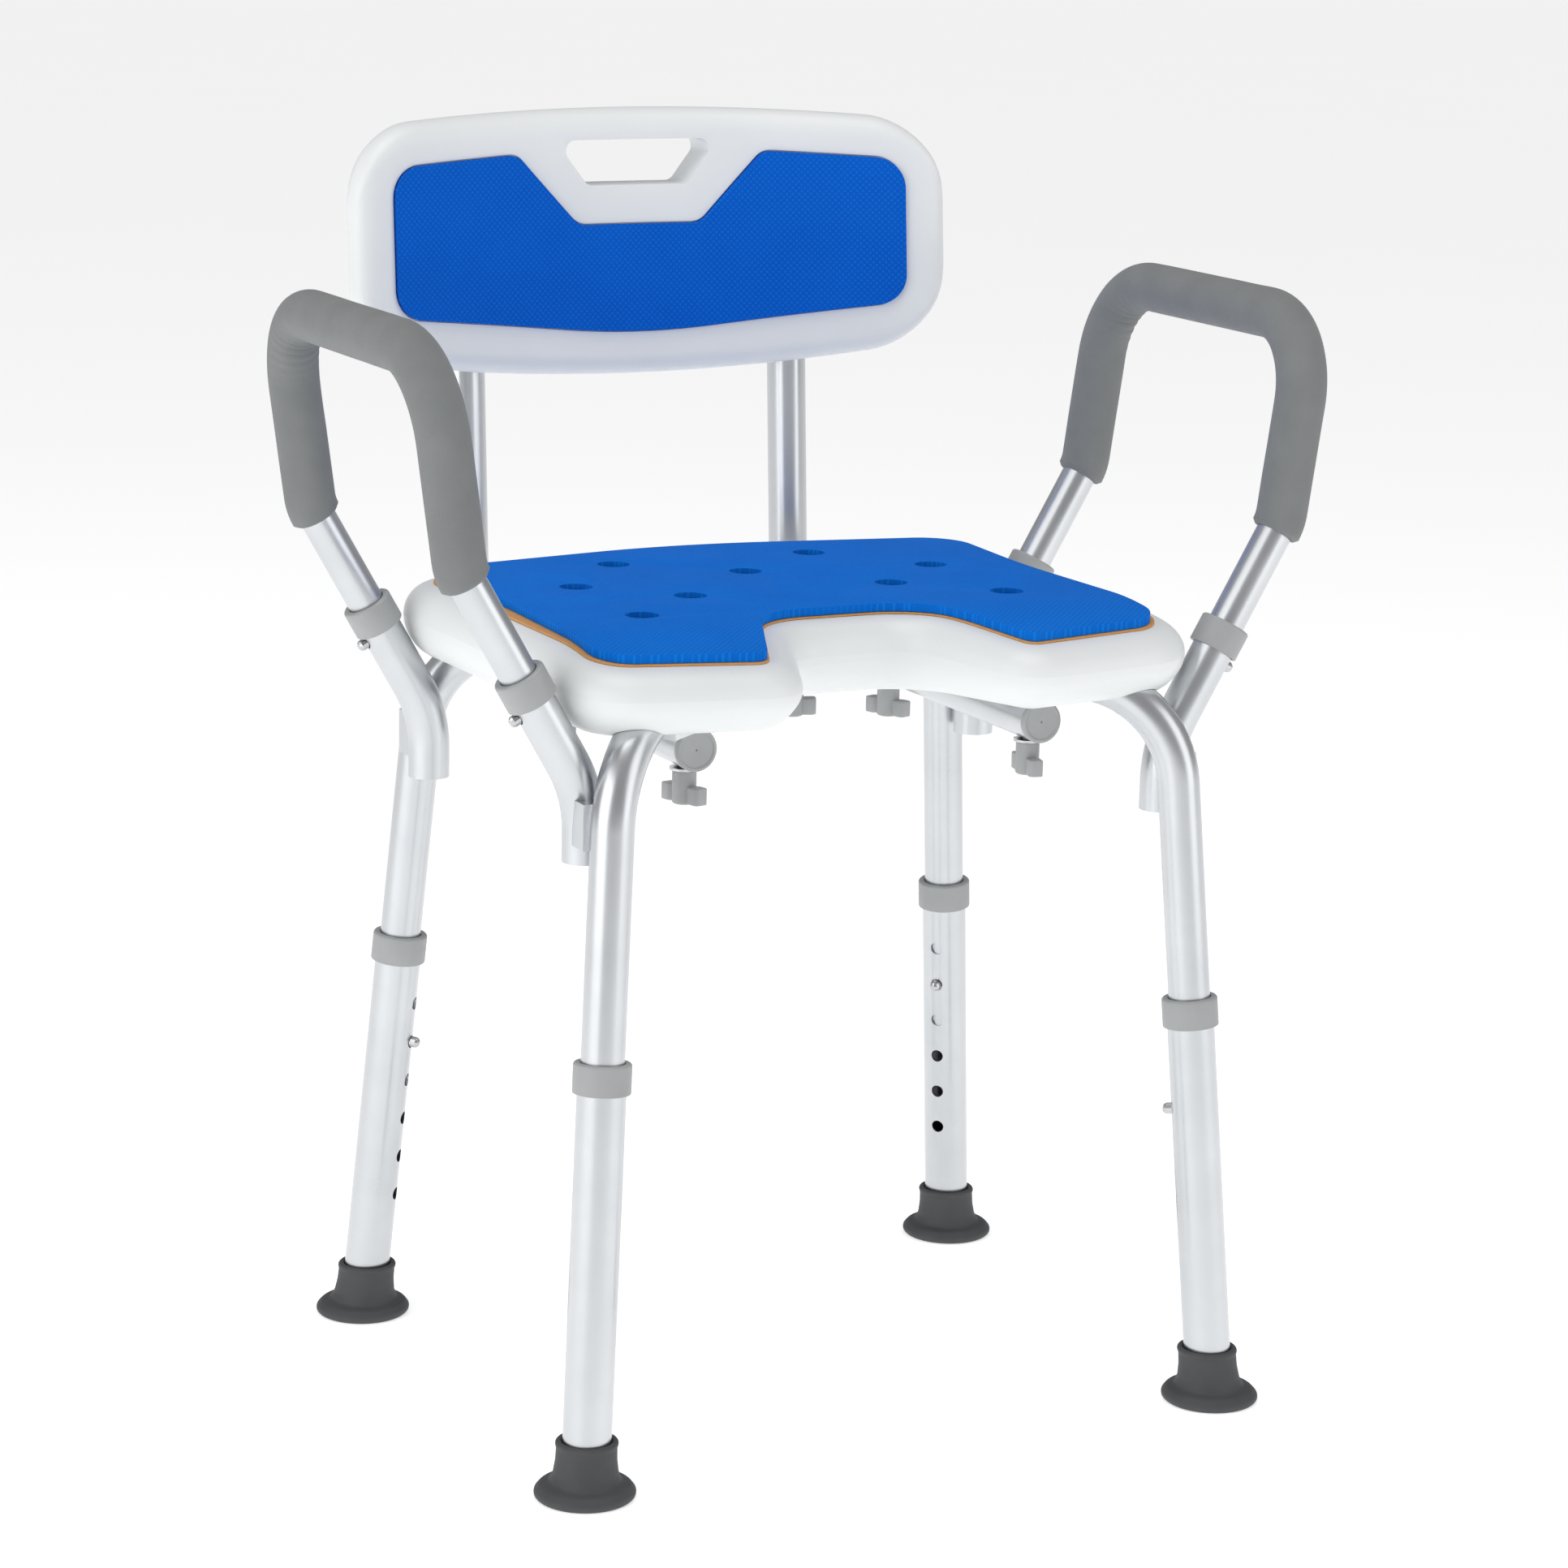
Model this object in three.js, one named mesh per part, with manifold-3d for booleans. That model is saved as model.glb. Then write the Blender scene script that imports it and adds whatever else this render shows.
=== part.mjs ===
// Height-adjustable shower chair: padded seat with a front cut-out, padded back,
// removable arms. Millimetres, +Z up, the user faces -Y, +X is the viewer's right.
import * as THREE from 'three';
import { mergeVertices, toCreasedNormals } from 'three/addons/utils/BufferGeometryUtils.js';
import Module from 'manifold-3d';

const wasm = await Module();
wasm.setup();

// ---------------------------------------------------------------- driving sizes
const GAP = 0.3;            // clearance wherever two pieces touch or slide
const SEGMENTS = 12;        // flats round every tube
const HOLE_SIDES = 8;       // flats round a small hole
const WALL = 1.3;           // aluminium tube wall

// tubes
const FRAME_R = 12.7;       // cross tubes, back posts and arm sockets, 1 inch
const LEG_R = FRAME_R + GAP + WALL;          // lower legs slide over the frame tubes
const ARM_R = FRAME_R - WALL - GAP;          // arm tubes slide into the sockets

// seat width, which the frame under it follows
const SEAT_HALF_W = 206.5;

// legs: foot position on the floor and lean per mm of height
const FRONT_FOOT = { x: SEAT_HALF_W + 3.5, y: -176, leanX: 0.062, leanY: 0.070 };
const REAR_FOOT = { x: SEAT_HALF_W + 6.5, y: 176, leanX: 0.075, leanY: 0.066 };
const HOLE_PITCH = 25.4;    // height step of the legs, 1 inch
const HOLE_COUNT = 6;
const HOLE_USED = 2;        // second hole from the top carries the button
const HOLE_R = 4.1;
const BUTTON_R = 3.5;
const BUTTON_PROUD = 5.6;
const LEG_COLLAR_Z = 245;
const TOP_HOLE_Z = LEG_COLLAR_Z - 35.6;
const USED_HOLE_Z = TOP_HOLE_Z - HOLE_PITCH * (HOLE_USED - 1);
const INNER_LEG_END = 39;   // frame tube carries on this far below its button
const COLLAR_H = 18;
const COLLAR_WALL = 2.4;
const LIP_H = 4;            // collar lip that closes on the smaller tube

// rubber feet
const FOOT_FLANGE_R = 29.7;
const FOOT_FLANGE_H = 8;
const FOOT_RIM_Z = 33.6;
const FOOT_WALL = 3.5;
const FOOT_SOLE = 8;

// seat
const SEAT_BOTTOM_Z = 435;
const PAD_TOP_Z = 488.5;
const PAD_T = 5;
const BACKING_T = 1;
const SEAT_TOP_Z = PAD_TOP_Z - PAD_T - BACKING_T - 2 * GAP;
const SEAT_WAIST = 4;
const SEAT_REAR_Y = 197;
const SEAT_REAR_CORNER_Y = 162;
const SEAT_FRONT_Y = -144;
const SEAT_LOBE_Y = -164;
const SEAT_LOBE_X = 73;
const CUT_HALF_W = 38;
const CUT_REAR_Y = -77;
const SEAT_EDGE_R = 19;
const SEAT_LOW_EDGE_R = 28;
const PAD_INSET = 21;
const SHELL_WALL = 3;
const FOLD_Y = -85;         // the seat dips forward of this line
const FOLD_SLOPE = 0.13;
const DRAIN_R = 10.2;
const DRAINS = [[0, 71], [68, 120], [68, 5.5], [121.5, 55], [122, -44]];

// cross tubes and back posts
const CROSS_Z = SEAT_BOTTOM_Z + 10;
const CROSS_BEND = 65;
const FLAT_HALF_H = (FRAME_R - 2 * GAP - 0.1) / 2;    // both tubes pressed flat where they meet
const FLAT_HALF_W = FRAME_R + 3.9;
const FLAT_END = 22;
const ROUND_START = 40;
const POST_X = SEAT_HALF_W - 92.1;
const POST_Z = CROSS_Z - 2 * FRAME_R - GAP;    // posts bear up against the cross tubes
const POST_AHEAD = 12.68;   // each post runs this far past its front bolt
const POST_REAR_Y = 241;
const POST_BEND = 52;
const POST_TOP_Z = 716;
const POST_LEAN = 0.0705;

// knobs
const STUD_R = 3;
const STUD_HOLE_R = STUD_R + 0.6;
const WASHER_R = 9;
const WASHER_T = 1.5;
const KNOB_R = 7.2;
const KNOB_H = 20;
const WING_H = 11;
const WING_SPAN = 30;
const KNOB_TURNS = { centre: -20, fl: -76, fr: 79, rl: 30, rr: -71 };

// arms and their sockets
const PLATE_Z = 388;
const PLATE_H = 27;
const PLATE_T = 3.44;       // weld between a socket and the leg beside it
const SOCKET_Y = -FRONT_FOOT.y - FRONT_FOOT.leanY * PLATE_Z - 2 * FRAME_R - PLATE_T;
const SOCKET_X = SEAT_HALF_W - 28.2 + FRAME_R;
const SOCKET_END_Z = 363;
const SOCKET_BEND = 80;
const ARM_TILT = THREE.MathUtils.degToRad(30);
const ARM_COLLAR_Z = 467;
const SOCKET_CLEAR = 9;         // socket to the side of the seat, at collar height
const ARM_COLLAR_X = SEAT_HALF_W + FRAME_R + SOCKET_CLEAR;
const ARM_BUTTON_DROP = 13.4;   // button below the collar centre, along the tube
const ARM_TAIL = 24;            // arm tube below its button
const ELBOW_Z = 536;
const ARM_SLOPE = 0.14;
const ARM_TOP_Z = 656.5;
const ARM_CORNER = 50;
const GRIP_R = 15.5;

// back
const BACK_HALF_W = 207.5;
const BACK_T = 28;
const BACK_MID_Z = 681;
const BACK_Y = 254.5;
const BACK_BOW = 1 / 1100;
const BACK_LEAN = 0.085;
const BACK_TOP_Z = 760.5;
const BACK_TOP_DROP = 9;
const BACK_LOW_Z = 590;
const BACK_LOW_RISE = 20;
const BACK_CORNER = 48;
const HANDLE_TOP_Z = 741;
const HANDLE_LOW_Z = 712;
const HANDLE_TOP_W = 57.5;
const HANDLE_LOW_W = 35;
const BACK_PAD_T = 5;
const BACK_PAD_PROUD = 3;
const BOSS_WALL = 3;

const V = (x, y, z) => new THREE.Vector3(x, y, z);

// ---------------------------------------------------------------- solid helpers
function geometryFrom(positions, triangles) {
  const geometry = new THREE.BufferGeometry();
  geometry.setAttribute('position', new THREE.Float32BufferAttribute(positions, 3));
  geometry.setIndex(triangles);
  return geometry;
}

function signedVolume(positions, triangles) {
  const at = (i) => V(positions[3 * i], positions[3 * i + 1], positions[3 * i + 2]);
  let volume = 0;
  for (let i = 0; i < triangles.length; i += 3) {
    const [a, b, c] = [at(triangles[i]), at(triangles[i + 1]), at(triangles[i + 2])];
    volume += a.dot(b.cross(c));
  }
  return volume;
}

// Skins a run of point loops; a ring-shaped body joins the last loop to the first.
function loft(loops, { joined = false, caps = null } = {}) {
  const n = loops[0].length;
  const positions = loops.flat().flatMap((p) => [p.x, p.y, p.z]);
  const triangles = [];
  const last = joined ? loops.length : loops.length - 1;
  for (let i = 0; i < last; i += 1) {
    const next = (i + 1) % loops.length;
    for (let j = 0; j < n; j += 1) {
      const k = (j + 1) % n;
      const [a, b, c, d] = [i * n + j, i * n + k, next * n + k, next * n + j];
      triangles.push(a, b, c, a, c, d);
    }
  }
  if (!joined) {
    const faces = (caps ?? fan(n)).map((face) => [...face].sort((p, q) => p - q));
    const top = (loops.length - 1) * n;
    for (const [a, b, c] of faces) triangles.push(a, c, b, top + a, top + b, top + c);
  }
  if (signedVolume(positions, triangles) < 0) triangles.reverse();
  return solidOf(geometryFrom(positions, triangles));
}

function fan(n) {
  const faces = [];
  for (let i = 1; i < n - 1; i += 1) faces.push([0, i, i + 1]);
  return faces;
}

function solidOf(geometry) {
  const plain = geometry.clone();
  plain.deleteAttribute('normal');
  plain.deleteAttribute('uv');
  const merged = mergeVertices(plain, 1e-4);
  return new wasm.Manifold(new wasm.Mesh({
    numProp: 3,
    vertProperties: new Float32Array(merged.attributes.position.array),
    triVerts: new Uint32Array(merged.index.array),
  }));
}

// Slivers narrower than this are merged away before a piece becomes a mesh.
const SLIVER = 0.05;

function meshOf(name, solid, finish) {
  const { vertProperties, triVerts } = solid.simplify(SLIVER).getMesh();
  const geometry = geometryFrom(Array.from(vertProperties), Array.from(triVerts));
  const mesh = new THREE.Mesh(toCreasedNormals(geometry, Math.PI / 5), finish.clone());
  mesh.name = name;
  return mesh;
}

// Plan outline pulled straight up between two heights.
function prism(outline, low, high) {
  const loops = [low, high].map((z) => outline.map((p) => V(p.x, p.y, z)));
  return loft(loops, { caps: THREE.ShapeUtils.triangulateShape(outline, []) });
}

function block(x0, x1, y0, y1, z0, z1) {
  const outline = [[x0, y0], [x1, y0], [x1, y1], [x0, y1]].map(([x, y]) => new THREE.Vector2(x, y));
  return prism(outline, z0, z1);
}

// ---------------------------------------------------------------- tubes and turned parts
function ring(centre, across, up, radius, squash = { w: 1, h: 1, lift: 0 }, sides = SEGMENTS) {
  const points = [];
  for (let i = 0; i < sides; i += 1) {
    const a = (2 * Math.PI * (i + 0.5)) / sides;
    points.push(centre.clone()
      .addScaledVector(across, radius * squash.h * Math.cos(a) + squash.lift)
      .addScaledVector(up, radius * squash.w * Math.sin(a)));
  }
  return points;
}

function frameFor(tangent, reference) {
  const across = reference.clone().cross(tangent).normalize();
  return [across, tangent.clone().cross(across).normalize()];
}

// Straight runs joined by arcs: a list of points with their directions.
function roundedPath(corners, radii, step = 0.34) {
  const path = [{ p: corners[0], t: corners[1].clone().sub(corners[0]).normalize() }];
  for (let i = 1; i < corners.length - 1; i += 1) {
    const from = corners[i].clone().sub(corners[i - 1]).normalize();
    const to = corners[i + 1].clone().sub(corners[i]).normalize();
    const turn = from.angleTo(to);
    const radius = radii[i - 1];
    const start = corners[i].clone().addScaledVector(from, -radius * Math.tan(turn / 2));
    const inward = to.clone().addScaledVector(from, -to.dot(from)).normalize();
    const steps = Math.max(1, Math.round(turn / step));
    for (let k = 0; k <= steps; k += 1) {
      const a = (turn * k) / steps;
      const p = start.clone()
        .addScaledVector(from, radius * Math.sin(a))
        .addScaledVector(inward, radius * (1 - Math.cos(a)));
      const t = from.clone().multiplyScalar(Math.cos(a)).addScaledVector(inward, Math.sin(a));
      path.push({ p, t });
    }
  }
  const end = corners[corners.length - 1];
  path.push({ p: end, t: end.clone().sub(corners[corners.length - 2]).normalize() });
  return path;
}

function rod(path, radius, reference, sides = SEGMENTS) {
  return loft(path.map(({ p, t }) => ring(p, ...frameFor(t, reference), radius, undefined, sides)));
}

function tube(path, outer, inner, reference) {
  const skin = (radius) => path.map(({ p, t, squash }) => {
    const flat = squash && {
      w: squash.w - (1 - radius / outer) * (squash.w - 1),
      h: squash.h,
      lift: squash.lift,
    };
    return ring(p, ...frameFor(t, reference), radius, flat || undefined);
  });
  return loft([...skin(outer), ...skin(inner).reverse()], { joined: true });
}

// Body of revolution about an axis; the profile is [radius, height] pairs.
function turned({ o, t, reference }, profile, joined = false) {
  const sides = frameFor(t, reference);
  const rings = profile.map(([r, h]) => ring(o.clone().addScaledVector(t, h), ...sides, r));
  return loft(rings, { joined });
}

function bore(from, to, radius, sides = HOLE_SIDES) {
  const t = to.clone().sub(from).normalize();
  const reference = Math.abs(t.z) > 0.8 ? V(1, 0, 0) : V(0, 0, 1);
  return rod([{ p: from, t }, { p: to, t }], radius, reference, sides);
}

// ---------------------------------------------------------------- finishes
const finish = (name, color, roughness, metalness) =>
  Object.assign(new THREE.MeshStandardMaterial({ color, roughness, metalness }), { name });
const ALUMINIUM = finish('anodised_aluminium', 0xc9cbcb, 0.32, 0.9);
const STEEL = finish('polished_steel', 0xb8b9ba, 0.18, 1);
const WHITE_HDPE = finish('white_hdpe', 0xe8eaea, 0.45, 0);
const BLUE_EVA = finish('blue_eva_foam', 0x0a6ad4, 0.75, 0);
const TAN_BACKING = finish('tan_adhesive_sheet', 0xd09a58, 0.8, 0);
const GREY_PLASTIC = finish('grey_nylon', 0x9a9c9c, 0.5, 0);
const GREY_FOAM = finish('grey_foam', 0x868888, 0.85, 0);
const RUBBER = finish('dark_rubber', 0x4a4c4c, 0.8, 0);

// ---------------------------------------------------------------- where things stand
const LEGS = [
  { id: 'fl', foot: FRONT_FOOT, side: -1, sign: -1 },
  { id: 'fr', foot: FRONT_FOOT, side: 1, sign: -1 },
  { id: 'rl', foot: REAR_FOOT, side: -1, sign: 1 },
  { id: 'rr', foot: REAR_FOOT, side: 1, sign: 1 },
];

function legPoint({ foot, side, sign }, z) {
  return V(side * (foot.x - foot.leanX * z), foot.y - sign * foot.leanY * z, z);
}

function legAxis(leg) {
  return legPoint(leg, 1).sub(legPoint(leg, 0)).normalize();
}

// Buttons and their holes face the middle of the chair.
function legInward(leg) {
  const axis = legAxis(leg);
  const inward = legPoint(leg, USED_HOLE_Z).multiplyScalar(-1).setZ(0);
  return inward.addScaledVector(axis, -inward.dot(axis)).normalize();
}

const ARM_AXIS = (side) => V(side * Math.sin(ARM_TILT), 0, Math.cos(ARM_TILT));
const armPoint = (side, y, along) =>
  V(side * ARM_COLLAR_X, y, ARM_COLLAR_Z).addScaledVector(ARM_AXIS(side), along);

const CROSS_PAIRS = [['fl', 'rr', 1], ['fr', 'rl', -1]];
const legById = (id) => LEGS.find((leg) => leg.id === id);

// Each post bolt passes the post and the cross tube above it.
function boltPlace(x, front) {
  const [a, b] = CROSS_PAIRS.find(([f, r]) => (front ? f : r).endsWith(x < 0 ? 'l' : 'r'));
  const [p, q] = [legPoint(legById(a), CROSS_Z), legPoint(legById(b), CROSS_Z)];
  return p.lerp(q, (x - p.x) / (q.x - p.x));
}

const CROSSING = (() => {
  const [p, q] = ['fl', 'rr'].map((id) => legPoint(legById(id), CROSS_Z));
  return p.lerp(q, -p.x / (q.x - p.x));
})();

const BOLTS = [
  { id: 'centre', at: CROSSING, under: CROSS_Z - 2 * FLAT_HALF_H - GAP },
  ...['fl', 'fr', 'rl', 'rr'].map((id) => ({
    id,
    at: boltPlace(id.endsWith('l') ? -POST_X : POST_X, id.startsWith('f')),
    under: POST_Z - FRAME_R,
  })),
];
function boltBore({ at }, radius, low, high, sides = HOLE_SIDES) {
  return bore(at.clone().setZ(low), at.clone().setZ(high), radius, sides);
}

// ---------------------------------------------------------------- cross tubes
function archPath([front, rear]) {
  const [a, b] = [legById(front), legById(rear)];
  const ends = [a, b].map((leg) => legPoint(leg, USED_HOLE_Z - INNER_LEG_END));
  const tops = [a, b].map((leg) => legPoint(leg, CROSS_Z));
  const path = roundedPath([ends[0], ...tops, ends[1]], [CROSS_BEND, CROSS_BEND]);
  return { path, along: tops[1].clone().sub(tops[0]).normalize() };
}

// The arch with its middle pressed flat, above or below the other tube.
function crossPath(pair) {
  const { path, along } = archPath(pair);
  const lift = pair[2];
  const half = path.length / 2;
  const middle = [-ROUND_START, -FLAT_END, FLAT_END, ROUND_START].map((s) => ({
    p: CROSSING.clone().addScaledVector(along, s),
    t: along,
    squash: Math.abs(s) > FLAT_END ? undefined : {
      w: FLAT_HALF_W / FRAME_R,
      h: FLAT_HALF_H / FRAME_R,
      lift: -lift * (FLAT_HALF_H + GAP),
    },
  }));
  return [...path.slice(0, half), ...middle, ...path.slice(half)];
}

function crossReference(pair) {
  return V(0, 0, 1).cross(archPath(pair).along).normalize();
}

function crossTube(pair) {
  let solid = tube(crossPath(pair), FRAME_R, FRAME_R - WALL, crossReference(pair));
  for (const id of pair.slice(0, 2)) {
    const leg = legById(id);
    const at = legPoint(leg, USED_HOLE_Z);
    const out = at.clone().addScaledVector(legInward(leg), FRAME_R + 2);
    solid = solid.subtract(bore(at, out, HOLE_R));
  }
  for (const bolt of BOLTS) {
    const onThis = bolt.id === 'centre' || pair.includes(bolt.id);
    if (onThis) solid = solid.subtract(boltBore(bolt, STUD_HOLE_R, CROSS_Z - 20, CROSS_Z + 20));
  }
  return solid;
}

// Room the seat leaves for one cross tube, from its underside upwards.
function crossGroove(pair, extra) {
  const { path, along } = archPath(pair);
  const straight = legPoint(legById(pair[0]), CROSS_Z).distanceTo(CROSSING) - CROSS_BEND;
  const reach = straight + 16 + extra;
  const across = V(-along.y, along.x, 0).multiplyScalar(FRAME_R + GAP + extra);
  const corner = (s, k) => CROSSING.clone()
    .addScaledVector(along, s * reach)
    .addScaledVector(across, k);
  const outline = [corner(-1, -1), corner(1, -1), corner(1, 1), corner(-1, 1)]
    .map((p) => new THREE.Vector2(p.x, p.y));
  return rod(path, FRAME_R + GAP + extra, crossReference(pair))
    .add(prism(outline, SEAT_BOTTOM_Z - 5, CROSS_Z));
}

// ---------------------------------------------------------------- seat outline
// Rounded polygon, counter-clockwise; radius per corner, then pulled in by an inset.
function roundedOutline(corners, step = 0.42) {
  const points = [];
  corners.forEach(([x, y, radius], i) => {
    const [px, py] = corners[(i + corners.length - 1) % corners.length];
    const [nx, ny] = corners[(i + 1) % corners.length];
    const from = new THREE.Vector2(x - px, y - py).normalize();
    const to = new THREE.Vector2(nx - x, ny - y).normalize();
    const turn = Math.atan2(from.cross(to), from.dot(to));
    const cut = radius * Math.tan(Math.abs(turn) / 2);
    const side = Math.sign(turn);
    const start = new THREE.Vector2(x, y).addScaledVector(from, -cut);
    const centre = new THREE.Vector2(-from.y, from.x).multiplyScalar(side * radius).add(start);
    const steps = Math.max(1, Math.round(Math.abs(turn) / step));
    for (let k = 0; k <= steps; k += 1) {
      const a = (turn * k) / steps;
      const spoke = start.clone().sub(centre).rotateAround(new THREE.Vector2(), a);
      const normal = new THREE.Vector2(from.y, -from.x).rotateAround(new THREE.Vector2(), a);
      points.push({ p: centre.clone().add(spoke), normal });
    }
  });
  return points;
}

function insetBy(outline, inset) {
  return outline.map(({ p, normal }) => p.clone().addScaledVector(normal, -inset));
}

function seatOutline(waist = SEAT_WAIST) {
  const right = [
    [CUT_HALF_W, CUT_REAR_Y, 24],
    [SEAT_LOBE_X, SEAT_LOBE_Y, 30],
    [SEAT_HALF_W, SEAT_FRONT_Y, 45],
    [SEAT_HALF_W - waist, 35, 500],
    [SEAT_HALF_W, SEAT_REAR_CORNER_Y, 52],
  ];
  const left = right.map(([x, y, r]) => [-x, y, r]).reverse();
  return roundedOutline([...right, [0, SEAT_REAR_Y, 400], ...left]);
}

// Everything above the seat surface plus a lift; it dips towards the front.
function aboveSeat(lift) {
  const z = SEAT_TOP_Z + lift;
  const far = 2 * SEAT_HALF_W;
  const dip = FOLD_SLOPE * (far + FOLD_Y);
  const side = [[far, z], [FOLD_Y, z], [-far, z - dip], [-far, z + 100], [far, z + 100]];
  const loops = [-far, far].map((x) => side.map(([y, h]) => V(x, y, h)));
  const faces = THREE.ShapeUtils.triangulateShape(side.map(([y, h]) => new THREE.Vector2(y, h)), []);
  return loft(loops, { caps: faces });
}

function drainBores(radius, low, high, sides = SEGMENTS) {
  const places = DRAINS.flatMap(([x, y]) => (x ? [[x, y], [-x, y]] : [[x, y]]));
  return places.map(([x, y]) => bore(V(x, y, low), V(x, y, high), radius, sides));
}

// Seat-shaped body, its upper and lower edges rounded, shrunk all round by an inset.
function seatBody(inset) {
  const outline = seatOutline();
  const [low, high] = [SEAT_BOTTOM_Z + inset, SEAT_TOP_Z - inset];
  const [under, over] = [SEAT_LOW_EDGE_R - inset, SEAT_EDGE_R - inset];
  const angles = [0, 1, 2, 3].map((k) => (Math.PI / 6) * k);
  const lower = angles.map((a) => [inset + under * (1 - Math.sin(a)), low + under * (1 - Math.cos(a))]);
  const upper = angles.map((a) => [inset + over * (1 - Math.cos(a)), high - over * (1 - Math.sin(a))]);
  const level = ([d, z]) => insetBy(outline, d).map((p) => V(p.x, p.y, z));
  const caps = THREE.ShapeUtils.triangulateShape(insetBy(outline, SEAT_EDGE_R), []);
  return loft([...lower, ...upper].map(level), { caps });
}

function seatShell() {
  const top = SEAT_TOP_Z;
  let body = seatBody(0).subtract(aboveSeat(0));
  let hollow = seatBody(SHELL_WALL).subtract(aboveSeat(-SHELL_WALL));
  for (const pair of CROSS_PAIRS) {
    body = body.subtract(crossGroove(pair, 0));
    hollow = hollow.subtract(crossGroove(pair, SHELL_WALL));
  }
  const grooveTop = CROSS_Z + FRAME_R + GAP;
  const pocket = (grow) => boltBore(
    { at: CROSSING }, ROUND_START + 4 + grow, SEAT_BOTTOM_Z - 5, grooveTop + 1 + grow, SEGMENTS,
  );
  body = body.subtract(pocket(0));
  hollow = hollow.subtract(pocket(SHELL_WALL));
  for (const drain of drainBores(DRAIN_R, SEAT_BOTTOM_Z - 5, top + 5)) {
    body = body.subtract(drain);
  }
  for (const post of drainBores(DRAIN_R + SHELL_WALL, SEAT_BOTTOM_Z - 5, top + 5, HOLE_SIDES)) {
    hollow = hollow.subtract(post);
  }
  for (const bolt of BOLTS) {
    body = body.subtract(boltBore(bolt, STUD_HOLE_R, SEAT_BOTTOM_Z - 5, grooveTop + 13));
    const sleeve = boltBore(bolt, STUD_HOLE_R + SHELL_WALL, SEAT_BOTTOM_Z, grooveTop + 16);
    hollow = hollow.subtract(sleeve);
  }
  const vent = bore(V(0, 130, SEAT_BOTTOM_Z - 5), V(0, 130, SEAT_BOTTOM_Z + 10), 4);
  return body.subtract(hollow).subtract(vent);
}

function seatSheet(outline, lift, thickness) {
  return prism(outline, SEAT_TOP_Z - 30, SEAT_TOP_Z + 20)
    .intersect(aboveSeat(lift))
    .subtract(aboveSeat(lift + thickness));
}

function seatPad() {
  const outline = insetBy(seatOutline(2 * SEAT_WAIST), PAD_INSET);
  let sheet = seatSheet(outline, BACKING_T + 2 * GAP, PAD_T);
  for (const drain of drainBores(DRAIN_R, SEAT_BOTTOM_Z, PAD_TOP_Z + 5)) sheet = sheet.subtract(drain);
  return sheet;
}

function seatPadBacking() {
  let sheet = seatSheet(insetBy(seatOutline(0), PAD_INSET - 1.2), GAP, BACKING_T);
  for (const drain of drainBores(DRAIN_R + 1, SEAT_BOTTOM_Z, PAD_TOP_Z + 5)) sheet = sheet.subtract(drain);
  return sheet;
}

// ---------------------------------------------------------------- back posts
const POST_REFERENCE = V(1, 0, 0);
const postFront = (x) => boltPlace(x, true).y - POST_AHEAD;

function postPath(side, topZ = POST_TOP_Z) {
  const x = side * POST_X;
  return roundedPath([
    V(x, postFront(x), POST_Z),
    V(x, POST_REAR_Y, POST_Z),
    V(x, POST_REAR_Y + POST_LEAN * (topZ - POST_Z), topZ),
  ], [POST_BEND]);
}

function backPost(side) {
  let solid = tube(postPath(side), FRAME_R, FRAME_R - WALL, POST_REFERENCE);
  for (const bolt of BOLTS) {
    const here = Math.abs(bolt.at.x - side * POST_X) < 1;
    if (here) solid = solid.subtract(boltBore(bolt, STUD_HOLE_R, POST_Z - 20, POST_Z + 20));
  }
  return solid;
}

function postCap(side) {
  const x = side * POST_X;
  const axis = { o: V(x, postFront(x), POST_Z), t: V(0, -1, 0), reference: POST_REFERENCE };
  const plug = FRAME_R - WALL - GAP;
  const face = FRAME_R + GAP;
  return turned(axis, [
    [plug, -9], [plug, GAP], [face, GAP], [face, 3.4], [face - 0.8, 4.2], [face - 2, 4.2], [face - 2.6, 3.4],
  ]);
}

// ---------------------------------------------------------------- knobs and washers
function wing() {
  const shape = new THREE.Shape();
  const [reach, half, hook] = [WING_SPAN / 2, 3.2, 2.2];
  shape.moveTo(-reach, -half - hook);
  shape.lineTo(-reach + 6, -half - hook);
  shape.lineTo(-reach + 9, -half);
  shape.lineTo(reach - 2, -half);
  shape.lineTo(reach, -half + 2);
  shape.lineTo(reach, half + hook);
  shape.lineTo(reach - 6, half + hook);
  shape.lineTo(reach - 9, half);
  shape.lineTo(-reach + 2, half);
  shape.lineTo(-reach, half - 2);
  return shape.getPoints();
}

function knob(bolt) {
  const top = bolt.under - WASHER_T - 2 * GAP;
  const low = top - KNOB_H;
  const turn = THREE.MathUtils.degToRad(KNOB_TURNS[bolt.id]);
  const place = (p) => p.clone().rotateAround(new THREE.Vector2(), turn)
    .add(new THREE.Vector2(bolt.at.x, bolt.at.y));
  const axis = { o: bolt.at.clone().setZ(0), t: V(0, 0, 1), reference: V(1, 0, 0) };
  const stem = turned(axis, [[KNOB_R - 1, low], [KNOB_R, low + 1], [KNOB_R, top]]);
  const stud = boltBore(bolt, STUD_R, low + 2, CROSS_Z + FRAME_R + GAP + 10);
  return stem.add(stud).add(prism(wing().map(place), low + 0.6, low + WING_H));
}

function washer(bolt) {
  const axis = { o: bolt.at.clone().setZ(0), t: V(0, 0, 1), reference: V(1, 0, 0) };
  const [high, low] = [bolt.under - GAP, bolt.under - GAP - WASHER_T];
  const hole = STUD_R + GAP + 0.2;
  return turned(axis, [[hole, low], [WASHER_R, low], [WASHER_R, high], [hole, high]], true);
}

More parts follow.
